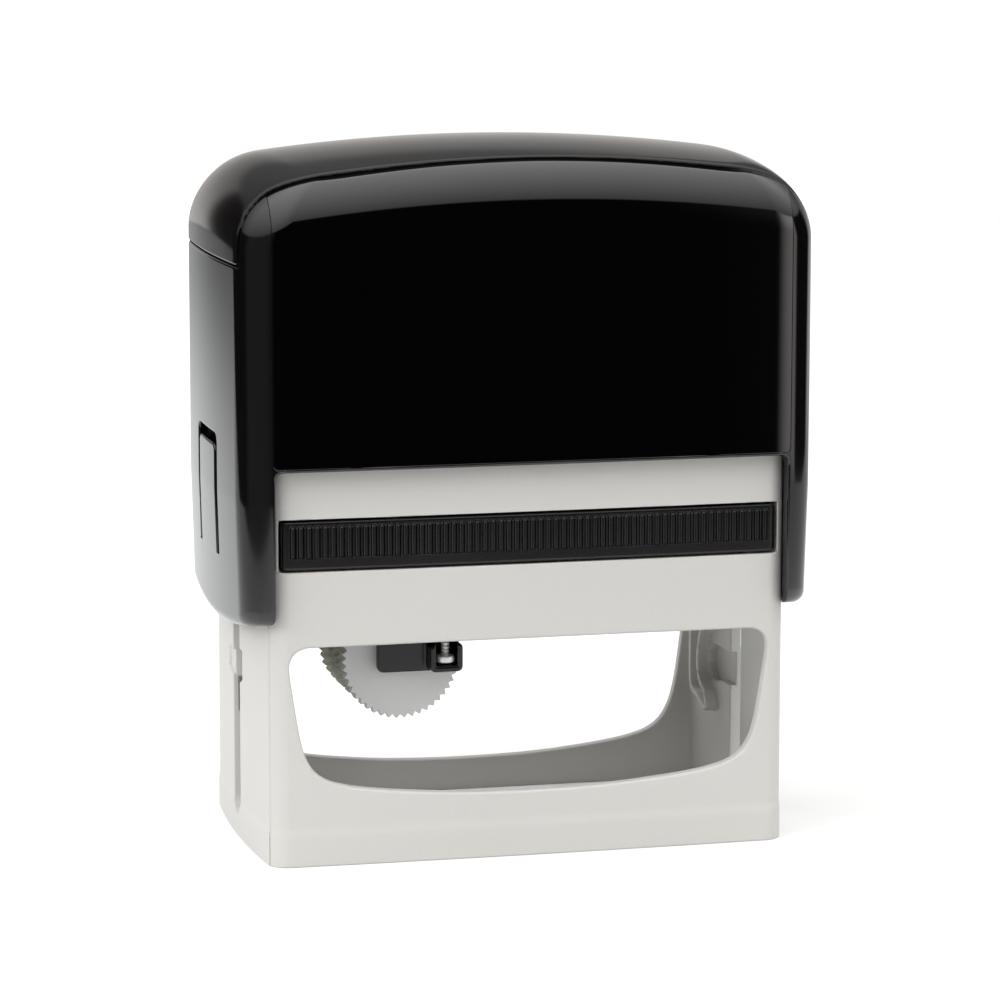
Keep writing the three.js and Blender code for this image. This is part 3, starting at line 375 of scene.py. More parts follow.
def cap_shell(x, y, z):
    """Shell with beds for the cover and panels, room for the base inside, and a window for each tongue.

    Below TONGUE_LOW the window is closed again. There the wing sinks a hair under the tongue's root, so that the
    two surfaces pass into each other without a line.
    """
    outer = both(cap_form(x, y, z), wing_floor(y, z), 2.0)
    zones = both(outer, -cover_zone(x, y, z), 0.4)
    zones = both(zones, -panel_zone(x, y, z), 0.06)
    body = np.minimum(zones, cap_form(x, y, z, BED))
    body = np.maximum(body, wing_floor(y, z))
    room = np.maximum(base_plan(x, y, -SLIDE_GAP), z - ROOM_TOP)
    head = np.maximum(cap_form(x, y, z, HEAD_WALL), HEAD_LOW - z)
    body = cut(body, np.minimum(room, head), 0.15)
    opening = signed_box(x, z - OPENING_TOP / 2, OPENING_X, OPENING_TOP / 2, 1.4)
    body = cut(body, both(OPENING_Y - np.abs(y), opening), 0.4)
    body = np.minimum(cut(body, tongue_window(x, y, z), 0.3), np.maximum(body, z - TONGUE_LOW))
    sunk = ROOT_STEP * np.clip((z - TONGUE_LOW + TONGUE_ROOT) / TONGUE_ROOT, 0, 1)
    sunk = sunk * np.clip((TONGUE_HALF + 0.25 - np.abs(y - TONGUE_Y)) / 0.5, 0, 1)
    return body + np.where((z < TONGUE_LOW + 0.4) & (np.abs(x) > 45.4), sunk, 0)


def top_cover(x, y, z):
    """Cover over the roof, between the long seams."""
    body = both(cap_form(x, y, z), np.abs(y) - cover_half(x), 0.35)
    body = both(body, COVER_LOW - z, 0.35)
    return np.maximum(body, -cap_form(x, y, z, COVER_THICK))


def panel(x, y, z):
    """The rear panel; the front one is its mirror image."""
    body = both(cap_form(x, y, z), seam(x) - y, 0.8)
    body = both(body, panel_outline(x, z, 0.02), 0.06)
    return np.maximum(body, -cap_form(x, y, z, PANEL_THICK))


def tongue(x, y, z):
    """The right tongue; the left one is its mirror image."""
    low, top = TONGUE_LOW - 5, TONGUE_TOP
    blade = signed_box(y - TONGUE_Y, z - (low + top) / 2, TONGUE_HALF, (top - low) / 2, 1.4)
    tucked = ROOT_STEP * np.clip((TONGUE_LOW - z) / TONGUE_ROOT, 0, 1)
    body = both(cap_form(x, y, z) + tucked, blade, 0.3)
    return np.maximum(np.maximum(body, TONGUE_LOW - TONGUE_ROOT - 0.1 - z), TONGUE_INNER - x)


WINDOW_TOP, WINDOW_LOW, REAR_WINDOW_LOW = 36.3, 10.9, 5.6


def window_line(low):
    """Outline of a window, x and z, as it is in the front wall with its lower part stretched down to low."""
    right = [
        (0, 10.9), (12, 11.15), (22, 11.9), (28, 12.6), (31.6, 13.3), (34.2, 14.2), (36.1, 15.6),
        (37.5, 17.7), (38.4, 20.4), (39.1, 24.0), (39.8, 28.5), (40.25, 31.6), (40.25, 33.7),
        (39.4, 35.3), (37.6, 36.1), (35.0, 36.2), (24.0, 36.25), (12.0, 36.3),
    ]
    stretch = (WINDOW_TOP - low) / (WINDOW_TOP - WINDOW_LOW)
    right = [(x, WINDOW_TOP - (WINDOW_TOP - z) * stretch) for x, z in right]
    left = [(-x, z) for x, z in right[1:]]
    return smooth_line(right + [(0, WINDOW_TOP)] + left[::-1], 6, closed=True)


FRONT_WINDOW = window_line(WINDOW_LOW)
REAR_WINDOW = window_line(REAR_WINDOW_LOW)

# Slot in each side wall, with the cross notch beside it, and round it the guides and the pocket on the inner face
SLOT_HALF, SLOT_LOW, SLOT_TOP = 2.85, 3.6, 46.2
SLOT_INNER = 40.4
NOTCH = [
    (6.75, 27.9), (6.75, 31.1), (2.9, 31.1), (-2.6, 32.2), (-7.9, 32.0), (-7.9, 28.6), (-3.0, 26.7), (3.0, 27.0),
]


def rib_outline(points, half=0.6):
    """Outline of a rib that follows a smooth line through the points."""
    line = smooth_line(points, 6)
    d = np.gradient(line, axis=0)
    n = np.stack([-d[:, 1], d[:, 0]], 1) / np.linalg.norm(d, axis=1, keepdims=True)
    return np.concatenate([line + n * half, (line - n * half)[::-1]])


GUIDES = [
    rib_outline([(19.5, 47.5), (19.5, 30), (19.4, 18.4), (15.0, 16.5), (10.4, 15.1)]),
    rib_outline([(11.7, 30.5), (14.2, 27), (15.2, 23), (14.2, 19.8), (10.9, 17.9), (9.9, 15.1)]),
]
POCKET = [
    (1.0, 20.7), (7.5, 20.7), (11.0, 19.9), (13.2, 20.4), (14.2, 22.5), (13.9, 25.0), (12.6, 26.4), (1.0, 26.4),
]
# Half width of the base at the notch's floor: on the right it is shallower, or light shows through beside the slot
NOTCH_FLOOR, NOTCH_FLOOR_RIGHT = 44.05, 44.34
# Fine upright line near each corner
CREASE_X, CREASE_Y, CREASE_HALF, CREASE_DEPTH = 43.25, 22.75, 0.06, 0.08
# Rooms in the base: half sizes and heights, and how far forward and back the walls with windows begin
WELL_TOP, MOUTH_X, MOUTH_Y, MOUTH_LOW, MOUTH_TOP = 47.3, 38.7, 22.8, 46.0, 56.9
BAY_X, BAY_LOW, BAY_TOP, ATTIC_LOW, WALL_Y = 41.8, 48.7, 57.2, 59.2, 20.0


def base_frame(x, y, z):
    """Bowed tube with a bay for the cassette, open to the front, and a window in the front and rear walls."""
    flare = FLARE * smooth((FLARE_TOP - z) / FLARE_HEIGHT)
    outer = both(base_plan(x, y, 0.0) - flare, span(z, 0, BASE_TOP), 0.25)
    ax, ay = np.abs(x), np.abs(y)
    inner = base_plan(x, y, WALL)
    well = np.maximum(inner, z - WELL_TOP)
    mouth = np.maximum(np.maximum(ax - MOUTH_X, ay - MOUTH_Y), span(z, MOUTH_LOW, MOUTH_TOP))
    bay = np.maximum(np.maximum(ax - BAY_X, y - MOUTH_Y), span(z, BAY_LOW, BAY_TOP))
    bay_front = signed_box(x, z - (BAY_LOW + BAY_TOP) / 2, BAY_X, (BAY_TOP - BAY_LOW) / 2, 0.9)
    bay_front = both(bay_front, y + WALL_Y)
    attic = np.maximum(inner, ATTIC_LOW - z)
    body = cut(outer, np.minimum(np.minimum(well, mouth), attic), 0.2)
    body = np.maximum(body, -bay)
    body = cut(body, bay_front, 0.25)
    body = cut(body, np.maximum(polygon(FRONT_WINDOW, x, z), WALL_Y + y), 0.4)
    body = cut(body, np.maximum(polygon(REAR_WINDOW, x, z), WALL_Y - y), 0.4)
    guides = np.minimum(polygon(GUIDES[0], y, z), polygon(GUIDES[1], y, z))
    guides = both(guides, np.maximum(40.1 - ax, ax - 43.0), 0.2)
    body = join(body, guides, 0.25)
    slot = signed_box(y, z - (SLOT_LOW + 60) / 2, SLOT_HALF, (60 - SLOT_LOW) / 2, SLOT_HALF)
    slot = both(slot, z - SLOT_TOP)
    body = cut(body, both(slot, SLOT_INNER - ax), 0.15)
    notch_floor = np.where(x > 0, NOTCH_FLOOR_RIGHT, NOTCH_FLOOR)
    body = cut(body, both(polygon(NOTCH, y, z), notch_floor - ax, 0.2), 0.15)
    body = cut(body, both(polygon(POCKET, y, z), np.maximum(SLOT_INNER - ax, ax - 43.5)), 0.3)
    crease = np.abs((ax - CREASE_X) * 0.72 - (ay - CREASE_Y) * 0.69)
    crease = np.maximum(crease - CREASE_HALF, -CREASE_DEPTH - base_plan(x, y))
    crease = np.maximum(np.maximum(crease, 40.0 - ax), 18.0 - ay)
    body = cut(body, crease, 0.03)
    scratch = np.maximum(np.abs(y + 6.6) - 0.12, span(z, 31.5, 46.0))
    scratch = np.maximum(scratch, np.maximum(-0.25 - base_plan(x, y), 42.0 - ax))
    return cut(body, scratch, 0.08)


# Cassette: half sizes and heights of the tray and of its hollow, then the flutes, then the pad in the hollow
TRAY_X, TRAY_REAR, TRAY_MIDDLE, TRAY_HALF = 41.5, 22.5, 52.95, 3.95
HOLLOW_X, HOLLOW_Y, HOLLOW_TOP = 38.5, 19.0, 55.4
FLUTE_PITCH, FLUTE_R, FLUTE_OUT, FLUTE_X, FLUTE_LOW, FLUTE_TOP = 1.32, 0.53, 0.1, 40.2, 50.9, 56.25
PAD_X, PAD_Y, PAD_LOW, PAD_TOP, PAD_CROWN = 38.2, 18.7, 50.15, 55.0, 0.5


def cassette(x, y, z):
    """Tray, open below, with upright flutes in its front face that end in round tops."""
    face = base_plan(x, y, 0.1)
    block = both(signed_box(x, z - TRAY_MIDDLE, TRAY_X, TRAY_HALF, 0.8), y - TRAY_REAR, 0.5)
    body = both(face, block, 0.35)
    u = np.abs((x / FLUTE_PITCH + 0.5) % 1.0 - 0.5) * FLUTE_PITCH
    above = np.maximum(z - (FLUTE_TOP - FLUTE_R), 0)
    flute = np.sqrt(u * u + (face - FLUTE_OUT) ** 2 + above * above) - FLUTE_R
    flute = np.maximum(np.maximum(flute, np.abs(x) - FLUTE_X), np.maximum(FLUTE_LOW - z, y + WALL_Y))
    body = cut(body, flute, 0.06)
    hollow = np.maximum(np.maximum(np.abs(x) - HOLLOW_X, np.abs(y) - HOLLOW_Y), z - HOLLOW_TOP)
    return np.maximum(body, -hollow)


def ink_pad(x, y, z):
    """Pad whose underside hangs lowest in the middle."""
    rise = PAD_CROWN * np.clip(x / PAD_X, -1, 1) ** 4 + PAD_CROWN * np.clip(y / PAD_Y, -1, 1) ** 4
    return both(signed_box(x, y, PAD_X, PAD_Y, 1.2), np.maximum(PAD_LOW + rise - z, z - PAD_TOP), 0.6)


# Thumbwheels on one axle, from the front to the rear: each is a toothed disc and a drum for its date band
WHEELS = ("day_tens", "day_units", "month", "year")
WHEEL_SHARES, WHEEL_GAP, STACK_HALF, DISC_SHARE = (0.19, 0.19, 0.31, 0.31), 0.4, 12.3, 0.42
WHEEL_X, WHEEL_Z, TIP_R, TEETH, DRUM_R, AXLE_R = -19.2, 31.1, 9.95, 46, 6.4, 1.25
FIRST_TOOTH_DEPTH, TOOTH_DEPTH = 0.75, 0.95
NOSE_Z, NOSE_R, BAND_MIDDLE, BAND_HALF, BAND_GAP = 45.8, 2.0, 0.8, 0.5, 0.25


def wheel_spans():
    """Front and rear end of each wheel with its drum."""
    free = 2 * STACK_HALF - WHEEL_GAP * 3
    out, y = [], -STACK_HALF
    for share in WHEEL_SHARES:
        out.append((y, y + share * free))
        y += share * free + WHEEL_GAP
    return out


SPANS = wheel_spans()


def disc_span(i):
    y0, y1 = SPANS[i]
    return y0, y0 + (y1 - y0) * DISC_SHARE


def wheel(i):
    """Toothed disc with a drum behind it."""
    (_, y1), (f0, f1) = SPANS[i], disc_span(i)
    tooth_depth = FIRST_TOOTH_DEPTH if i == 0 else TOOTH_DEPTH

    def form(x, y, z):
        dx, dz = x - WHEEL_X, z - WHEEL_Z
        rr = np.hypot(dx, dz)
        turn = np.arctan2(dz, dx) * TEETH / (2 * np.pi)
        tooth = np.abs((turn + 0.5) % 1.0 - 0.5) * 2
        disc = (rr - (TIP_R - tooth_depth * tooth)) * 0.65
        disc = both(disc, span(y, f0, f1), 0.12)
        drum = both(rr - DRUM_R, span(y, f0 + 0.5, y1), 0.2)
        body = join(disc, drum, 0.3)
        return cut(body, rr - AXLE_R, 0.15)

    return form


def capsule(x, z, r1, r2, h):
    """Distance to a tapered capsule that stands on the wheel's axle and ends at the nose bar."""
    u, v = np.abs(x - WHEEL_X), z - WHEEL_Z
    b = (r1 - r2) / h
    a = math.sqrt(1 - b * b)
    k = v * a - u * b
    return np.where(k < 0, np.hypot(u, v) - r1, np.where(k > a * h, np.hypot(u, v - h) - r2, u * a + v * b - r1))


def date_band(i):
    """Band round a wheel's drum and the nose bar below the die."""
    front, rear = disc_span(i)[1] + BAND_GAP, SPANS[i][1] - BAND_GAP

    def form(x, y, z):
        d = capsule(x, z, DRUM_R, NOSE_R, NOSE_Z - WHEEL_Z)
        return both(np.abs(d - BAND_MIDDLE) - BAND_HALF, span(y, front, rear), 0.15)

    return form


# Cradle: its sides and heights, the ears with their cups, and the screws in them
CRADLE_LEFT, CRADLE_RIGHT, CRADLE_LOW, SHOULDER = WHEEL_X - 4.3, WHEEL_X + 9.4, 29.4, 43.1
EAR_WIDTH, EAR_TOP, CUP_LOW, CUP_R = 5.5, 34.5, 30.8, 1.75
SCREW_X, SCREW_Y = CRADLE_RIGHT - EAR_WIDTH / 2, 16.1


def cradle(x, y, z):
    """Two cheeks that hold the axle and the nose bar, with a web between them and an ear for a screw on each."""
    ay = np.abs(y)
    x0, x1 = CRADLE_LEFT, CRADLE_RIGHT
    plate = signed_box(x - (x0 + x1) / 2, z - (CRADLE_LOW + 60) / 2, (x1 - x0) / 2, (60 - CRADLE_LOW) / 2, 1.0)
    plate = both(plate, z - SHOULDER)
    prong = np.maximum(np.abs(x - WHEEL_X) - 3.0, span(z, 40, 47.2))
    cheek = both(np.minimum(plate, prong), span(ay, 12.8, 14.5), 0.25)
    web = both(np.maximum(span(x, x1 - 1.4, x1), span(z, SHOULDER - 5.4, SHOULDER)), ay - 14.0, 0.2)
    middle = (CRADLE_LOW + 0.3 + EAR_TOP) / 2
    ear = signed_box(x - SCREW_X, z - middle, EAR_WIDTH / 2, (EAR_TOP - CRADLE_LOW - 0.3) / 2, 0.9)
    ear = both(ear, span(ay, 13.7, 17.7), 0.4)
    body = join(np.minimum(cheek, web), ear, 0.35)
    cup = np.hypot(x - SCREW_X, ay - SCREW_Y) - CUP_R
    cup = np.minimum(cup, np.maximum(np.abs(x - SCREW_X) - CUP_R, SCREW_Y - ay))
    body = cut(body, np.maximum(cup, CUP_LOW - z), 0.3)
    return cut(body, np.maximum(np.hypot(x - WHEEL_X, z - WHEEL_Z) - AXLE_R, ay - 13.7), 0.1)


HEAD_R, HEAD_BOTTOM, HEAD_TOP, SCREW_TOP = 1.6, 31.15, 32.4, 45.0
CORE_R, THREAD_DEPTH, THREAD_PITCH = 0.58, 0.2, 0.6


def screw(x, y, z):
    """Slotted screw, head down, with a helical thread."""
    dx, dy = x - SCREW_X, np.abs(y) - SCREW_Y
    r = np.hypot(dx, dy)
    slot = np.maximum(np.abs(dy) - 0.25, z - 31.5)
    head = cut(both(r - HEAD_R, span(z, HEAD_BOTTOM, HEAD_TOP), 0.35), slot, 0.1)
    turn = np.arctan2(dy, dx) / (2 * np.pi)
    thread = np.abs(((z / THREAD_PITCH - turn) % 1.0) - 0.5) * 2
    shank = both((r - CORE_R - THREAD_DEPTH * thread) * 0.8, span(z, HEAD_TOP - 0.5, SCREW_TOP), 0.1)
    return np.minimum(head, shank)


# Carriage: its plate, the strip that reaches the sides of the base's room, and the pins that carry and lead it
PLATE_X, PLATE_Y, STRIP_X, STRIP_Y = 38.0, 17.8, 40.4, 9.5
PLATE_LOW, PLATE_HIGH = 43.4, 45.1
PIVOT_Z, PIVOT_R, FOLLOWER_Y, FOLLOWER_R = 42.3, 2.9, 6.0, 1.8


def pin(y_axis, r, side, inner, outer, edge):
    """Pin along x at PIVOT_Z, on the side given by its sign."""
    lo, hi = sorted((side * inner, side * outer))

    def form(x, y, z):
        return both(np.hypot(y - y_axis, z - PIVOT_Z) - r, span(x, lo, hi), edge)

    return form


def carriage(x, y, z):
    """Ribbed plate with a hub at each end, a hole for the date unit and holes for the pins and screws."""
    ax, ay = np.abs(x), np.abs(y)
    plate = np.maximum(np.maximum(ax - PLATE_X, ay - PLATE_Y), span(z, PLATE_LOW, PLATE_HIGH))
    strip = np.maximum(np.maximum(ax - STRIP_X, ay - STRIP_Y), span(z, PLATE_LOW, PLATE_HIGH))
    end = both(span(ax, STRIP_X - 1.8, STRIP_X), np.maximum(ay - STRIP_Y, span(z, 38.3, PLATE_HIGH)), 0.3)
    rib = both(np.maximum(ax - PLATE_X, span(ay, PLATE_Y - 1.6, PLATE_Y)), span(z, 41.0, PLATE_HIGH), 0.3)
    hub = both(np.hypot(y, z - PIVOT_Z) - 5.0, span(ax, 35.2, STRIP_X), 0.3)
    hub = np.maximum(hub, z - PLATE_HIGH)
    body = join(np.minimum(np.minimum(plate, strip), np.minimum(end, rib)), hub, 0.3)
    hole = np.maximum(np.abs(x - WHEEL_X) - 9.3, ay - 12.6)
    cross_ribs = np.maximum(np.maximum(ay - 17.0, ax - 37.0), span(z, 41.8, 44.0))
    cross_ribs = np.maximum(np.maximum(span(ax % 12.0, 5.3, 6.7), cross_ribs), 0.8 - hole)
    body = np.minimum(body, cross_ribs)
    prong_slots = np.maximum(np.abs(x - WHEEL_X) - 3.3, ay - 14.8)
    body = cut(body, np.minimum(hole, prong_slots), 0.2)
    body = cut(body, np.maximum(np.hypot(y, z - PIVOT_Z) - PIVOT_R - 0.1, 36.9 - ax), 0.1)
    body = cut(body, np.maximum(np.hypot(y - FOLLOWER_Y, z - PIVOT_Z) - FOLLOWER_R - 0.1, 38.0 - ax), 0.1)
    return cut(body, np.hypot(x - SCREW_X, ay - SCREW_Y) - 0.9, 0.1)


# Text plate and die: half sizes, heights, and the plain bars in place of lines of text: from x, to x, y
TEXT_X, TEXT_Y, DATE_HOLE_HALF = 38.0, 18.5, 4.6
TEXT_PLATE_TOP, DIE_TOP, DIE_FACE = 47.3, 48.7, 49.7
TEXT_BARS = [
    (-35.3, -25.1, 0.0), (-3.8, 32.3, 12.2), (-3.8, 22.8, 6.1), (-3.8, 28.5, 0.0), (-3.8, 19.0, -6.1),
    (-3.8, 32.3, -12.2),
]


def text_plate(x, y, z):
    body = both(signed_box(x, y, TEXT_X, TEXT_Y, 0.8), span(z, PLATE_HIGH, TEXT_PLATE_TOP), 0.25)
    return cut(body, np.maximum(np.abs(x - WHEEL_X) - DATE_HOLE_HALF, np.abs(y) - 14.8), 0.2)


def text_die(x, y, z):
    """Rubber sheet with a raised border and bars, and a hole for the date bands."""
    sheet = both(signed_box(x, y, TEXT_X, TEXT_Y, 0.8), span(z, TEXT_PLATE_TOP, DIE_TOP), 0.2)
    marks = both(signed_box(x, y, 37.4, 17.9, 0.8), -signed_box(x, y, 36.5, 17.0, 0.4))
    for x0, x1, yc in TEXT_BARS:
        marks = np.minimum(marks, np.maximum(span(x, x0, x1), np.abs(y - yc) - 0.9))
    marks = both(marks, span(z, 48.0, DIE_FACE), 0.15)
    body = join(sheet, marks, 0.15)
    return cut(body, np.maximum(np.abs(x - WHEEL_X) - DATE_HOLE_HALF, np.abs(y) - 12.6), 0.2)


def mirrored(form, axis):
    """The mirror image of a form, with one coordinate turned round."""

    def turned(x, y, z):
        p = [x, y, z]
        p[axis] = -p[axis]
        return form(*p)

    return turned


def linear(code):
    """Linear colour of a hex code."""
    out = []
    for i in (0, 2, 4):
        c = int(code[i : i + 2], 16) / 255
        out.append(c / 12.92 if c <= 0.04045 else ((c + 0.055) / 1.055) ** 2.4)
    return (*out, 1.0)


def add_node(tree, kind, links=(), **values):
    """New node with its settings or input values and its linked inputs."""
    node = tree.nodes.new(kind)
    for key, value in values.items():
        if hasattr(node, key):
            setattr(node, key, value)
        else:
            node.inputs[key.replace("_", " ")].default_value = value
    for socket, source in links:
        tree.links.new(source, node.inputs[socket])
    return node


def ramp(tree, source, start, end, low, high, smooth=True):
    """Level that goes from low to high while the source goes from start to end."""
    node = add_node(tree, "ShaderNodeMapRange", [("Value", source)])
    node.interpolation_type = "SMOOTHSTEP" if smooth else "LINEAR"
    for name, value in (("From Min", start), ("From Max", end), ("To Min", low), ("To Max", high)):
        node.inputs[name].default_value = value
    return node.outputs[0]


def maths(tree, operation, *sources):
    """Result of an operation on outputs of other nodes or plain numbers."""
    node = add_node(tree, "ShaderNodeMath", operation=operation)
    for socket, source in zip(node.inputs, sources):
        if isinstance(source, float):
            socket.default_value = source
        else:
            tree.links.new(source, socket)
    return node.outputs[0]


def product(tree, *sources):
    out = sources[0]
    for source in sources[1:]:
        out = maths(tree, "MULTIPLY", out, source)
    return out


def finish_of(name, code, rough, mottle=0.04, rough_spread=0.06, grain=900.0, bump=0.1, depth=0.00002, **shader):
    """Moulded or cut surface: slow colour drift, fine grain in colour and height, and uneven gloss."""
    mat = bpy.data.materials.new(name)
    mat.use_nodes = True
    tree = mat.node_tree
    main = tree.nodes["Principled BSDF"]
    place = add_node(tree, "ShaderNodeTexCoord").outputs["Object"]
    slow = add_node(tree, "ShaderNodeTexNoise", [("Vector", place)], Scale=38.0, Detail=3.0)
    fine = add_node(tree, "ShaderNodeTexNoise", [("Vector", place)], Scale=grain, Detail=2.0)
    blend = maths(tree, "ADD", slow.outputs["Fac"], fine.outputs["Fac"])
    base = linear(code)
    drift = ramp(tree, blend, 0.6, 1.4, 0.0, 1.0, False)
    mix = add_node(tree, "ShaderNodeMix", [("Factor", drift)], data_type="RGBA")
    mix.inputs[6].default_value = tuple(c * (1 - mottle) for c in base[:3]) + (1,)
    mix.inputs[7].default_value = tuple(min(1, c * (1 + mottle)) for c in base[:3]) + (1,)
    tree.links.new(mix.outputs[2], main.inputs["Base Color"])
    spread = rough_spread / 2
    gloss = ramp(tree, slow.outputs["Fac"], 0.3, 0.7, rough - spread, rough + spread, False)
    tree.links.new(gloss, main.inputs["Roughness"])
    relief = add_node(tree, "ShaderNodeBump", [("Height", fine.outputs["Fac"])], Strength=bump, Distance=depth)
    tree.links.new(relief.outputs[0], main.inputs["Normal"])
    for key, value in shader.items():
        main.inputs[key.replace("_", " ")].default_value = value
    return mat


OFF_WHITE = finish_of("off_white_plastic", "DFDDD9", 0.42, mottle=0.012, grain=1400.0, bump=0.12)
CAP_BLACK = finish_of(
    "cap_gloss_black", "0B0A0B", 0.08, mottle=0.1, rough_spread=0.02, bump=0.01, Specular_IOR_Level=0.8
)
COVER_BLACK = finish_of("cover_gloss_black", "0E0C0C", 0.13, mottle=0.1, rough_spread=0.03, bump=0.02)
PANEL_BLACK = finish_of(
    "panel_gloss_black", "020203", 0.05, mottle=0.1, rough_spread=0.01, bump=0.0,
    Coat_Weight=1.0, Specular_Tint=(1.0, 0.95, 1.0, 1),
)
CARD_BLACK = finish_of("card_black", "101010", 0.6, mottle=0.1)
TRAY_BLACK = finish_of("cassette_satin_black", "080606", 0.19, mottle=0.08, bump=0.15)
MECH_BLACK = finish_of("mechanism_satin_black", "080606", 0.24, mottle=0.08, bump=0.2)
WHEEL_GREY = finish_of("wheel_light_grey", "EDEFEE", 0.45, mottle=0.02)
# Darker, greener copy of the wheel plastic for the three rear wheels: painted shade of the wheels that stand deeper
# in the stack, behind the front one
WHEEL_PAINTED_SHADE = finish_of("wheel_grey_painted_shade", "CFD0C2", 0.5, mottle=0.04)
BAND_RUBBER = finish_of("band_rubber", "DAD6CC", 0.7, mottle=0.03, bump=0.3)
DIE_RUBBER = finish_of("die_rubber", "B8776A", 0.7, mottle=0.05, bump=0.4)
PLATE_WHITE = finish_of("plate_off_white", "E2E1DC", 0.5, mottle=0.02)
STEEL = finish_of("bright_steel", "E0E0E2", 0.36, mottle=0.05, rough_spread=0.1, bump=0.05, Metallic=1.0)
SCREW_STEEL = finish_of("nickel_steel", "F2F2F0", 0.42, mottle=0.04, rough_spread=0.1, bump=0.05, Metallic=0.6)
FELT = finish_of("pad_felt", "3A3F55", 0.95, mottle=0.25, grain=2600.0, bump=0.9, depth=0.00015)


# Fine planes on both sides of the panels' side edges
JOINT = merged(*(sign * (PANEL_X + np.arange(-4, 4) * 0.04) for sign in (-1, 1)))


def build_base():
    grid = (
        merged(
            across(45.4, 0.9, [43.4, 40.4, 38.5], 0.3, 1.2),
            lines(43.3, 44.3, 0.1),
            lines(-44.3, -43.3, 0.1),
        ),
        merged(
            across(26.2, 1.0, [24.4, 19.6, 3.1, 22.2], 0.3, 1.2),
            lines(22.9, 23.9, 0.1),
            lines(-23.9, -22.9, 0.1),
        ),
        merged(
            lines(-0.5, 9.0, 0.9, [0, 5.5], 0.15, 0.5),
            lines(9.0, 38.0, 0.4),
            lines(38.0, 70.6, 1.0, [46, 48.9, 57.0, 70.0], 0.15, 0.5),
        ),
    )
    piece("base_body", base_frame, grid, "base", OFF_WHITE, ["base_frame"])
    grid = (
        lines(-42.8, 42.8, 0.14),
        merged(lines(-25.8, -24.2, 0.14), lines(-24.2, 23.2, 1.2, [22.3], 0.3, 0.6)),
        lines(48.6, 57.3, 0.6, [49.3, 50.9, 56.2, 56.7], 0.14, 0.35),
    )
    piece("cassette_tray", cassette, grid, "base", TRAY_BLACK, ["ink_cassette"])
    grid = (
        across(38.6, 1.4, [37.7], 0.25, 0.7),
        across(19.1, 1.4, [18.2], 0.25, 0.7),
        lines(49.8, 55.5, 0.6, [50.6, 54.6], 0.2, 0.6),
    )
    felt = piece("pad_felt", ink_pad, grid, "base", FELT, ["ink_pad"])
    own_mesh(felt)


def build_cap():
    grid = (
        merged(across(49.9, 1.2, [45.9], 0.3, 3.9), JOINT),
        across(28.9, 1.0, [23.4, 26.6, 6.8], 0.22, 1.7),
        merged(
            lines(36.6, 96.0, 1.4, [38.2, 41.0, 49.3, 65.5, 69.0], 0.2, 0.8),
            lines(96.0, 117.4, 0.5),
            lines(97.4, 98.3, 0.1),
        ),
    )
    piece("cap_body", cap_shell, grid, "cap", CAP_BLACK, ["cap_shell"])
    grid = (
        lines(-49.9, 49.9, 0.8),
        across(24.7, 1.0, [23.0], 0.13, 1.6),
        lines(97.8, 117.0, 0.5, [98.3], 0.12, 0.4),
    )
    piece("cover_top", top_cover, grid, "cap", COVER_BLACK, ["top_cover"])
    xs = merged(across(43.8, 0.6, [42.9], 0.15, 0.6), JOINT)
    ys = merged(lines(22.0, 25.8, 0.19), lines(25.8, 28.8, 0.3))
    zs = merged(lines(65.3, 99.0, 0.9, [66.0], 0.15, 0.6), lines(99.0, 115.0, 0.28))
    piece("panel_rear", panel, (xs, ys, zs), "cap", PANEL_BLACK, ["rear_panel"])
    piece("panel_front", mirrored(panel, 1), (xs, -ys[::-1], zs), "cap", PANEL_BLACK, ["front_panel"])
    xs, ys, zs = lines(46.6, 49.4, 0.25), lines(-6.0, 8.5, 0.25), lines(47.2, 67.5, 0.3)
    piece("tongue_r", tongue, (xs, ys, zs), "tongue_right", CAP_BLACK, ["lock_tongue_right"])
    left = (-xs[::-1], ys, zs)
    piece("tongue_l", mirrored(tongue, 0), left, "tongue_left", CAP_BLACK, ["lock_tongue_left"])


def build_carriage():
    grid = (
        across(41.0, 0.9, [39.5], 0.3, 1.0),
        across(18.3, 0.8, [17.0, 9.5], 0.3, 0.9),
        lines(36.8, 46.0, 0.45),
    )
    piece("carriage_body", carriage, grid, "carriage", MECH_BLACK, ["carriage_frame"])
    grid = (
        across(38.5, 1.2, [37.6], 0.25, 0.5),
        across(19.0, 1.2, [18.1, 14.8], 0.25, 0.5),
        lines(44.8, 47.6, 0.25),
    )
    piece("plate_text", text_plate, grid, "carriage", PLATE_WHITE, ["text_plate"])
    grid = (lines(-38.3, 38.3, 0.5), lines(-18.8, 18.8, 0.4), lines(47.1, 50.0, 0.24))
    piece("die_text", text_die, grid, "carriage", DIE_RUBBER, ["text_die"])
    grid = (lines(-24.4, -8.8, 0.3), across(18.2, 0.8, [13.6, 16.1], 0.25, 1.9), lines(29.0, 47.6, 0.35))
    piece("date_cradle", cradle, grid, "carriage", MECH_BLACK, ["date_unit_frame"])
    for side, sign in (("front", -1), ("rear", 1)):
        grid = (lines(-14.0, -10.6, 0.16), np.sort(sign * lines(14.4, 17.8, 0.16)), lines(30.2, 45.3, 0.11))
        piece(f"screw_{side}", screw, grid, "carriage", SCREW_STEEL, [f"date_screw_{side}"])


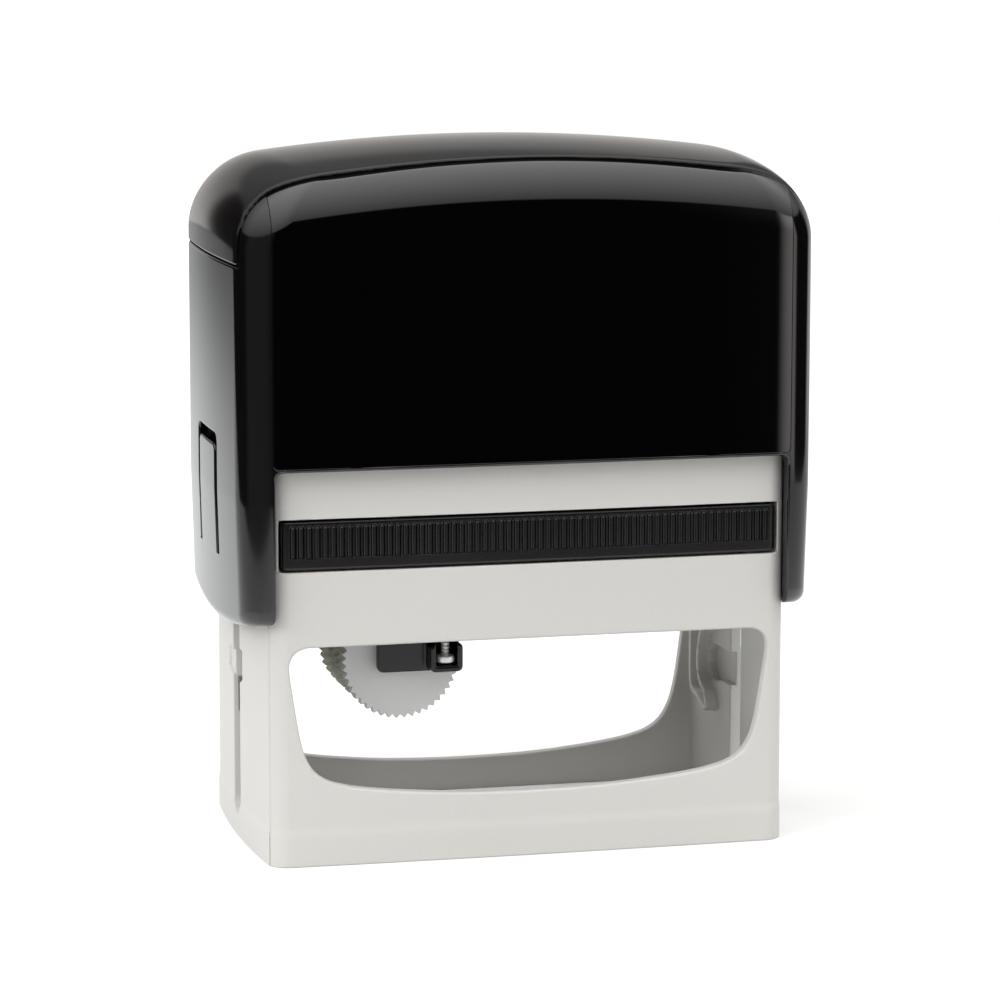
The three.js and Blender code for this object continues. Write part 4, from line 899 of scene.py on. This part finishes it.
def build_wheels():
    for i, name in enumerate(WHEELS):
        (y0, y1), (f0, f1) = SPANS[i], disc_span(i)
        grid = (
            lines(WHEEL_X - 10.3, WHEEL_X + 10.3, 0.2),
            lines(y0 - 0.4, y1 + 0.4, 0.8, [f0, f1, y0, y1], 0.12, 0.4),
            lines(WHEEL_Z - 10.3, WHEEL_Z + 10.3, 0.2),
        )
        # The rear wheels take the darker copy of the wheel plastic, which is painted shade
        look = WHEEL_GREY if i == 0 else WHEEL_PAINTED_SHADE
        piece(f"wheel_disc_{name}", wheel(i), grid, f"wheel_{name}", look, [f"thumbwheel_{name}"])
        grid = (
            lines(WHEEL_X - 8.2, WHEEL_X + 8.2, 0.35),
            lines(y0 - 0.3, y1 + 0.3, 0.3),
            lines(WHEEL_Z - 8.2, 49.9, 0.35),
        )
        piece(f"band_{name}", date_band(i), grid, "carriage", BAND_RUBBER, [f"date_band_{name}"])


def build_pins():
    for side, sign in (("left", -1), ("right", 1)):
        form = pin(0, PIVOT_R, sign, 37.1, 46.8, 0.3)
        xs = np.sort(sign * lines(36.9, 47.0, 0.5, [37.1, 46.8], 0.15, 0.4))
        grid = (xs, lines(-3.2, 3.2, 0.3), lines(39.1, 45.5, 0.3))
        piece(f"pivot_{side}", form, grid, "carriage", STEEL, [f"pivot_pin_{side}"])
        form = pin(FOLLOWER_Y, FOLLOWER_R, sign, 38.6, 42.0, 0.25)
        grid = (np.sort(sign * lines(38.4, 42.2, 0.25)), lines(4.0, 8.0, 0.2), lines(40.3, 44.3, 0.2))
        piece(f"follower_{side}", form, grid, "carriage", STEEL, [f"follower_pin_{side}"])


SPRING_X, SPRING_TURNS, SPRING_R, WIRE_R, SPRING_LOW, SPRING_HIGH = 29.8, 11, 5.5, 0.55, 59.5, 110.1
STEPS_PER_TURN, WIRE_SIDES = 22, 10
# Share of the turns, share of the height: the turns lie close at both ends
SPRING_PITCH = [(0, 0), (0.09, 0.02), (0.91, 0.98), (1, 1)]


def spring(name, x, node):
    """Closed tube along a helix."""
    t = np.linspace(0, 1, SPRING_TURNS * STEPS_PER_TURN + 1)
    a = 2 * np.pi * SPRING_TURNS * t
    height = SPRING_HIGH - SPRING_LOW - 2 * WIRE_R
    z = SPRING_LOW + WIRE_R + height * np.interp(t, *zip(*SPRING_PITCH))
    path = np.stack([x + SPRING_R * np.cos(a), SPRING_R * np.sin(a), z], 1)
    along = np.gradient(path, axis=0)
    along /= np.linalg.norm(along, axis=1, keepdims=True)
    out = np.stack([np.cos(a), np.sin(a), 0 * a], 1)
    up = np.cross(along, out)
    ring = (np.arange(WIRE_SIDES) / WIRE_SIDES * 2 * np.pi)[None, :, None]
    points = path[:, None] + WIRE_R * (np.cos(ring) * out[:, None] + np.sin(ring) * up[:, None])
    n, m = len(path), WIRE_SIDES
    faces = [
        [(i + 1) * m + j, (i + 1) * m + (j + 1) % m, i * m + (j + 1) % m, i * m + j]
        for i in range(n - 1)
        for j in range(m)
    ]
    faces.append(list(range(m)))
    faces.append([(n - 1) * m + j for j in range(m)][::-1])
    mesh = bpy.data.meshes.new(name)
    mesh.from_pydata((points.reshape(-1, 3) * MM).tolist(), [], faces)
    mesh.polygons.foreach_set("use_smooth", np.ones(len(mesh.polygons), bool))
    mesh.materials.append(STEEL)
    obj = bpy.data.objects.new(name, mesh)
    bpy.context.scene.collection.objects.link(obj)
    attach(obj, "base")
    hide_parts(node)
    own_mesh(obj)


build_base()
build_cap()
build_carriage()
build_wheels()
spring("spring_l", -SPRING_X, "return_spring_left")
spring("spring_r", SPRING_X, "return_spring_right")
build_pins()
# Solids of the frame that are shown as they are, in a better material
SHOWN = {"wheel_axle": STEEL, "nose_bar": STEEL, "front_card": CARD_BLACK, "rear_card": CARD_BLACK}
for node, look in SHOWN.items():
    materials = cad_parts[node].data.materials
    materials.clear()
    materials.append(look)


def seen_ray(tree, path):
    """One for rays that the camera sees, also through clear material."""
    return maths(tree, "MAXIMUM", path.outputs["Is Camera Ray"], path.outputs["Is Transmission Ray"])


FLOOR_CORNERS = [(-0.235, -0.27, 0), (0.42, -0.27, 0), (0.44, 1.3, 0), (-0.37, 1.3, 0), (-0.33, 0.1, 0)]
FLOOR_COLOUR, FLOOR_IN_GLOSS, FLOOR_GLOW = (0.7, 0.7, 0.69, 1), (0.87, 0.885, 0.88, 1), 0.32


def pale_floor():
    """White where it is seen, with the object's shadow; in reflections it fades away from the object."""
    mesh = bpy.data.meshes.new("floor")
    mesh.from_pydata(FLOOR_CORNERS, [], [(0, 1, 2, 3, 4)])
    obj = bpy.data.objects.new("floor", mesh)
    bpy.context.scene.collection.objects.link(obj)
    look = bpy.data.materials.new("floor_pale")
    look.use_nodes = True
    tree = look.node_tree
    shader = tree.nodes["Principled BSDF"]
    shader.inputs["Roughness"].default_value = 0.9
    shader.inputs["Specular IOR Level"].default_value = 0.0
    path = add_node(tree, "ShaderNodeLightPath")
    seen = seen_ray(tree, path)
    place = add_node(tree, "ShaderNodeTexCoord").outputs["Object"]
    place = add_node(tree, "ShaderNodeSeparateXYZ", [("Vector", place)])
    near = product(
        tree,
        ramp(tree, place.outputs["Y"], 0.25, 0.95, 1.0, 0.45),
        ramp(tree, place.outputs["X"], -0.3, -0.08, 0.5, 1.0),
        ramp(tree, place.outputs["X"], 0.1, 0.35, 1.0, 0.5),
    )
    fade = add_node(tree, "ShaderNodeMix", [("Factor", near)], data_type="RGBA")
    fade.inputs[6].default_value = (0, 0, 0, 1)
    fade.inputs[7].default_value = FLOOR_IN_GLOSS
    mixed = [("Factor", path.outputs["Is Glossy Ray"]), (7, fade.outputs[2])]
    tint = add_node(tree, "ShaderNodeMix", mixed, data_type="RGBA")
    tint.inputs[6].default_value = FLOOR_COLOUR
    tree.links.new(tint.outputs[2], shader.inputs["Base Color"])
    glow = ramp(tree, seen, 0.0, 1.0, 0.0, FLOOR_GLOW, False)
    shader.inputs["Emission Color"].default_value = (1, 1, 1, 1)
    tree.links.new(glow, shader.inputs["Emission Strength"])
    mesh.materials.append(look)


CEILING_LOW, CEILING_FULL = 0.235, 0.27


def room_light():
    """Soft room: bright overhead, dark near the horizon in front and on the left, and white where it is seen."""
    world = bpy.data.worlds.new("soft_room")
    bpy.context.scene.world = world
    world.use_nodes = True
    tree = world.node_tree
    sky = tree.nodes["Background"]
    path = add_node(tree, "ShaderNodeLightPath")
    direction = add_node(tree, "ShaderNodeTexCoord").outputs["Generated"]
    parts = add_node(tree, "ShaderNodeSeparateXYZ", [("Vector", direction)])
    right, back, up = (parts.outputs[axis] for axis in "XYZ")
    high = ramp(tree, up, CEILING_LOW, CEILING_FULL, 0.0, 1.0)
    rim = ramp(tree, up, CEILING_LOW, CEILING_FULL, 0.0, 0.46)
    ceiling = maths(tree, "ADD", rim, ramp(tree, up, 0.25, 1.0, 0.0, 1.5, False))
    ceiling = product(tree, ceiling, ramp(tree, back, 0.2, 0.8, 1.0, 0.25))
    wall = product(
        tree,
        ramp(tree, up, -0.12, 0.25, 0.78, 0.3),
        ramp(tree, right, -0.24, -0.18, 0.0, 1.0),
        ramp(tree, right, 0.8, 0.9, 1.0, 0.0),
        ramp(tree, back, 0.0, 0.2, 0.0, 1.0),
    )
    window = product(
        tree,
        ramp(tree, right, 0.3, 0.85, 0.0, 1.0),
        ramp(tree, right, 0.93, 0.97, 1.0, 0.0),
        ramp(tree, back, -0.3, -0.15, 1.0, 0.0),
        ramp(tree, up, -0.1, 0.15, 1.0, 1.5),
    )
    shelf = product(tree, ramp(tree, right, -0.8, -0.45, 0.1, 0.0), ramp(tree, back, 0.0, 0.3, 1.0, 0.0))
    low = maths(tree, "ADD", maths(tree, "ADD", wall, window), maths(tree, "ADD", shelf, 0.008))
    lit = maths(tree, "ADD", ceiling, product(tree, low, ramp(tree, up, CEILING_LOW, CEILING_FULL, 1.0, 0.0)))
    seen = seen_ray(tree, path)
    level = add_node(tree, "ShaderNodeMix", [("Factor", seen), (2, lit)])
    level.inputs[3].default_value = 1.0
    tree.links.new(level.outputs[0], sky.inputs["Strength"])
    warm = add_node(tree, "ShaderNodeMix", [("Factor", maths(tree, "MAXIMUM", seen, high))], data_type="RGBA")
    warm.inputs[6].default_value = (1.04, 1.0, 0.97, 1)
    warm.inputs[7].default_value = (1.0, 1.0, 1.0, 1)
    tree.links.new(warm.outputs[2], sky.inputs["Color"])


def softbox(name, place, target, size, power):
    """Square lamp that looks at the target and is not mirrored in gloss."""
    lamp = bpy.data.lights.new(name, "AREA")
    lamp.shape = "RECTANGLE"
    lamp.size, lamp.size_y = size, size
    lamp.energy = power
    obj = bpy.data.objects.new(name, lamp)
    bpy.context.scene.collection.objects.link(obj)
    away = np.array(place) - np.array(target)
    away = away / np.linalg.norm(away)
    side = np.cross((0, 0, 1), away)
    side = side / np.linalg.norm(side)
    set_frame(obj, side, np.cross(away, side), away, place)
    obj.visible_glossy = False


def set_frame(obj, right, up, back, place):
    obj.matrix_world = Matrix([[right[i], up[i], back[i], place[i]] for i in range(3)] + [[0, 0, 0, 1]])


# Camera fitted to edges and corners in the photo: turns in degrees, place in mm
YAW, PITCH, ROLL, CAMERA_PLACE, FOCAL_LENGTH = 13.9706, 9.2553, 0.0905, (-171.064, -690.730, 171.109), 154.234


def photo_camera():
    data = bpy.data.cameras.new("camera")
    data.lens, data.sensor_width = FOCAL_LENGTH, 36.0
    data.clip_start, data.clip_end = 0.01, 50
    camera = bpy.data.objects.new("camera", data)
    bpy.context.scene.collection.objects.link(camera)
    bpy.context.scene.camera = camera
    yaw, pitch, roll = (math.radians(turn) for turn in (YAW, PITCH, ROLL))
    ahead = np.array((math.sin(yaw) * math.cos(pitch), math.cos(yaw) * math.cos(pitch), -math.sin(pitch)))
    level = np.array((math.cos(yaw), -math.sin(yaw), 0.0))
    upright = np.cross(level, ahead)
    right = math.cos(roll) * level + math.sin(roll) * upright
    above = -math.sin(roll) * level + math.cos(roll) * upright
    set_frame(camera, right, above, -ahead, np.array(CAMERA_PLACE) * MM)


pale_floor()
room_light()
softbox("fill", (-1.15, -0.55, 0.75), (0, 0, 0.05), 0.7, 6.3)
softbox("back", (-0.7, 1.2, 0.9), (0, 0, 0.05), 0.8, 3.2)
photo_camera()

bpy.context.scene.view_settings.view_transform = "Standard"
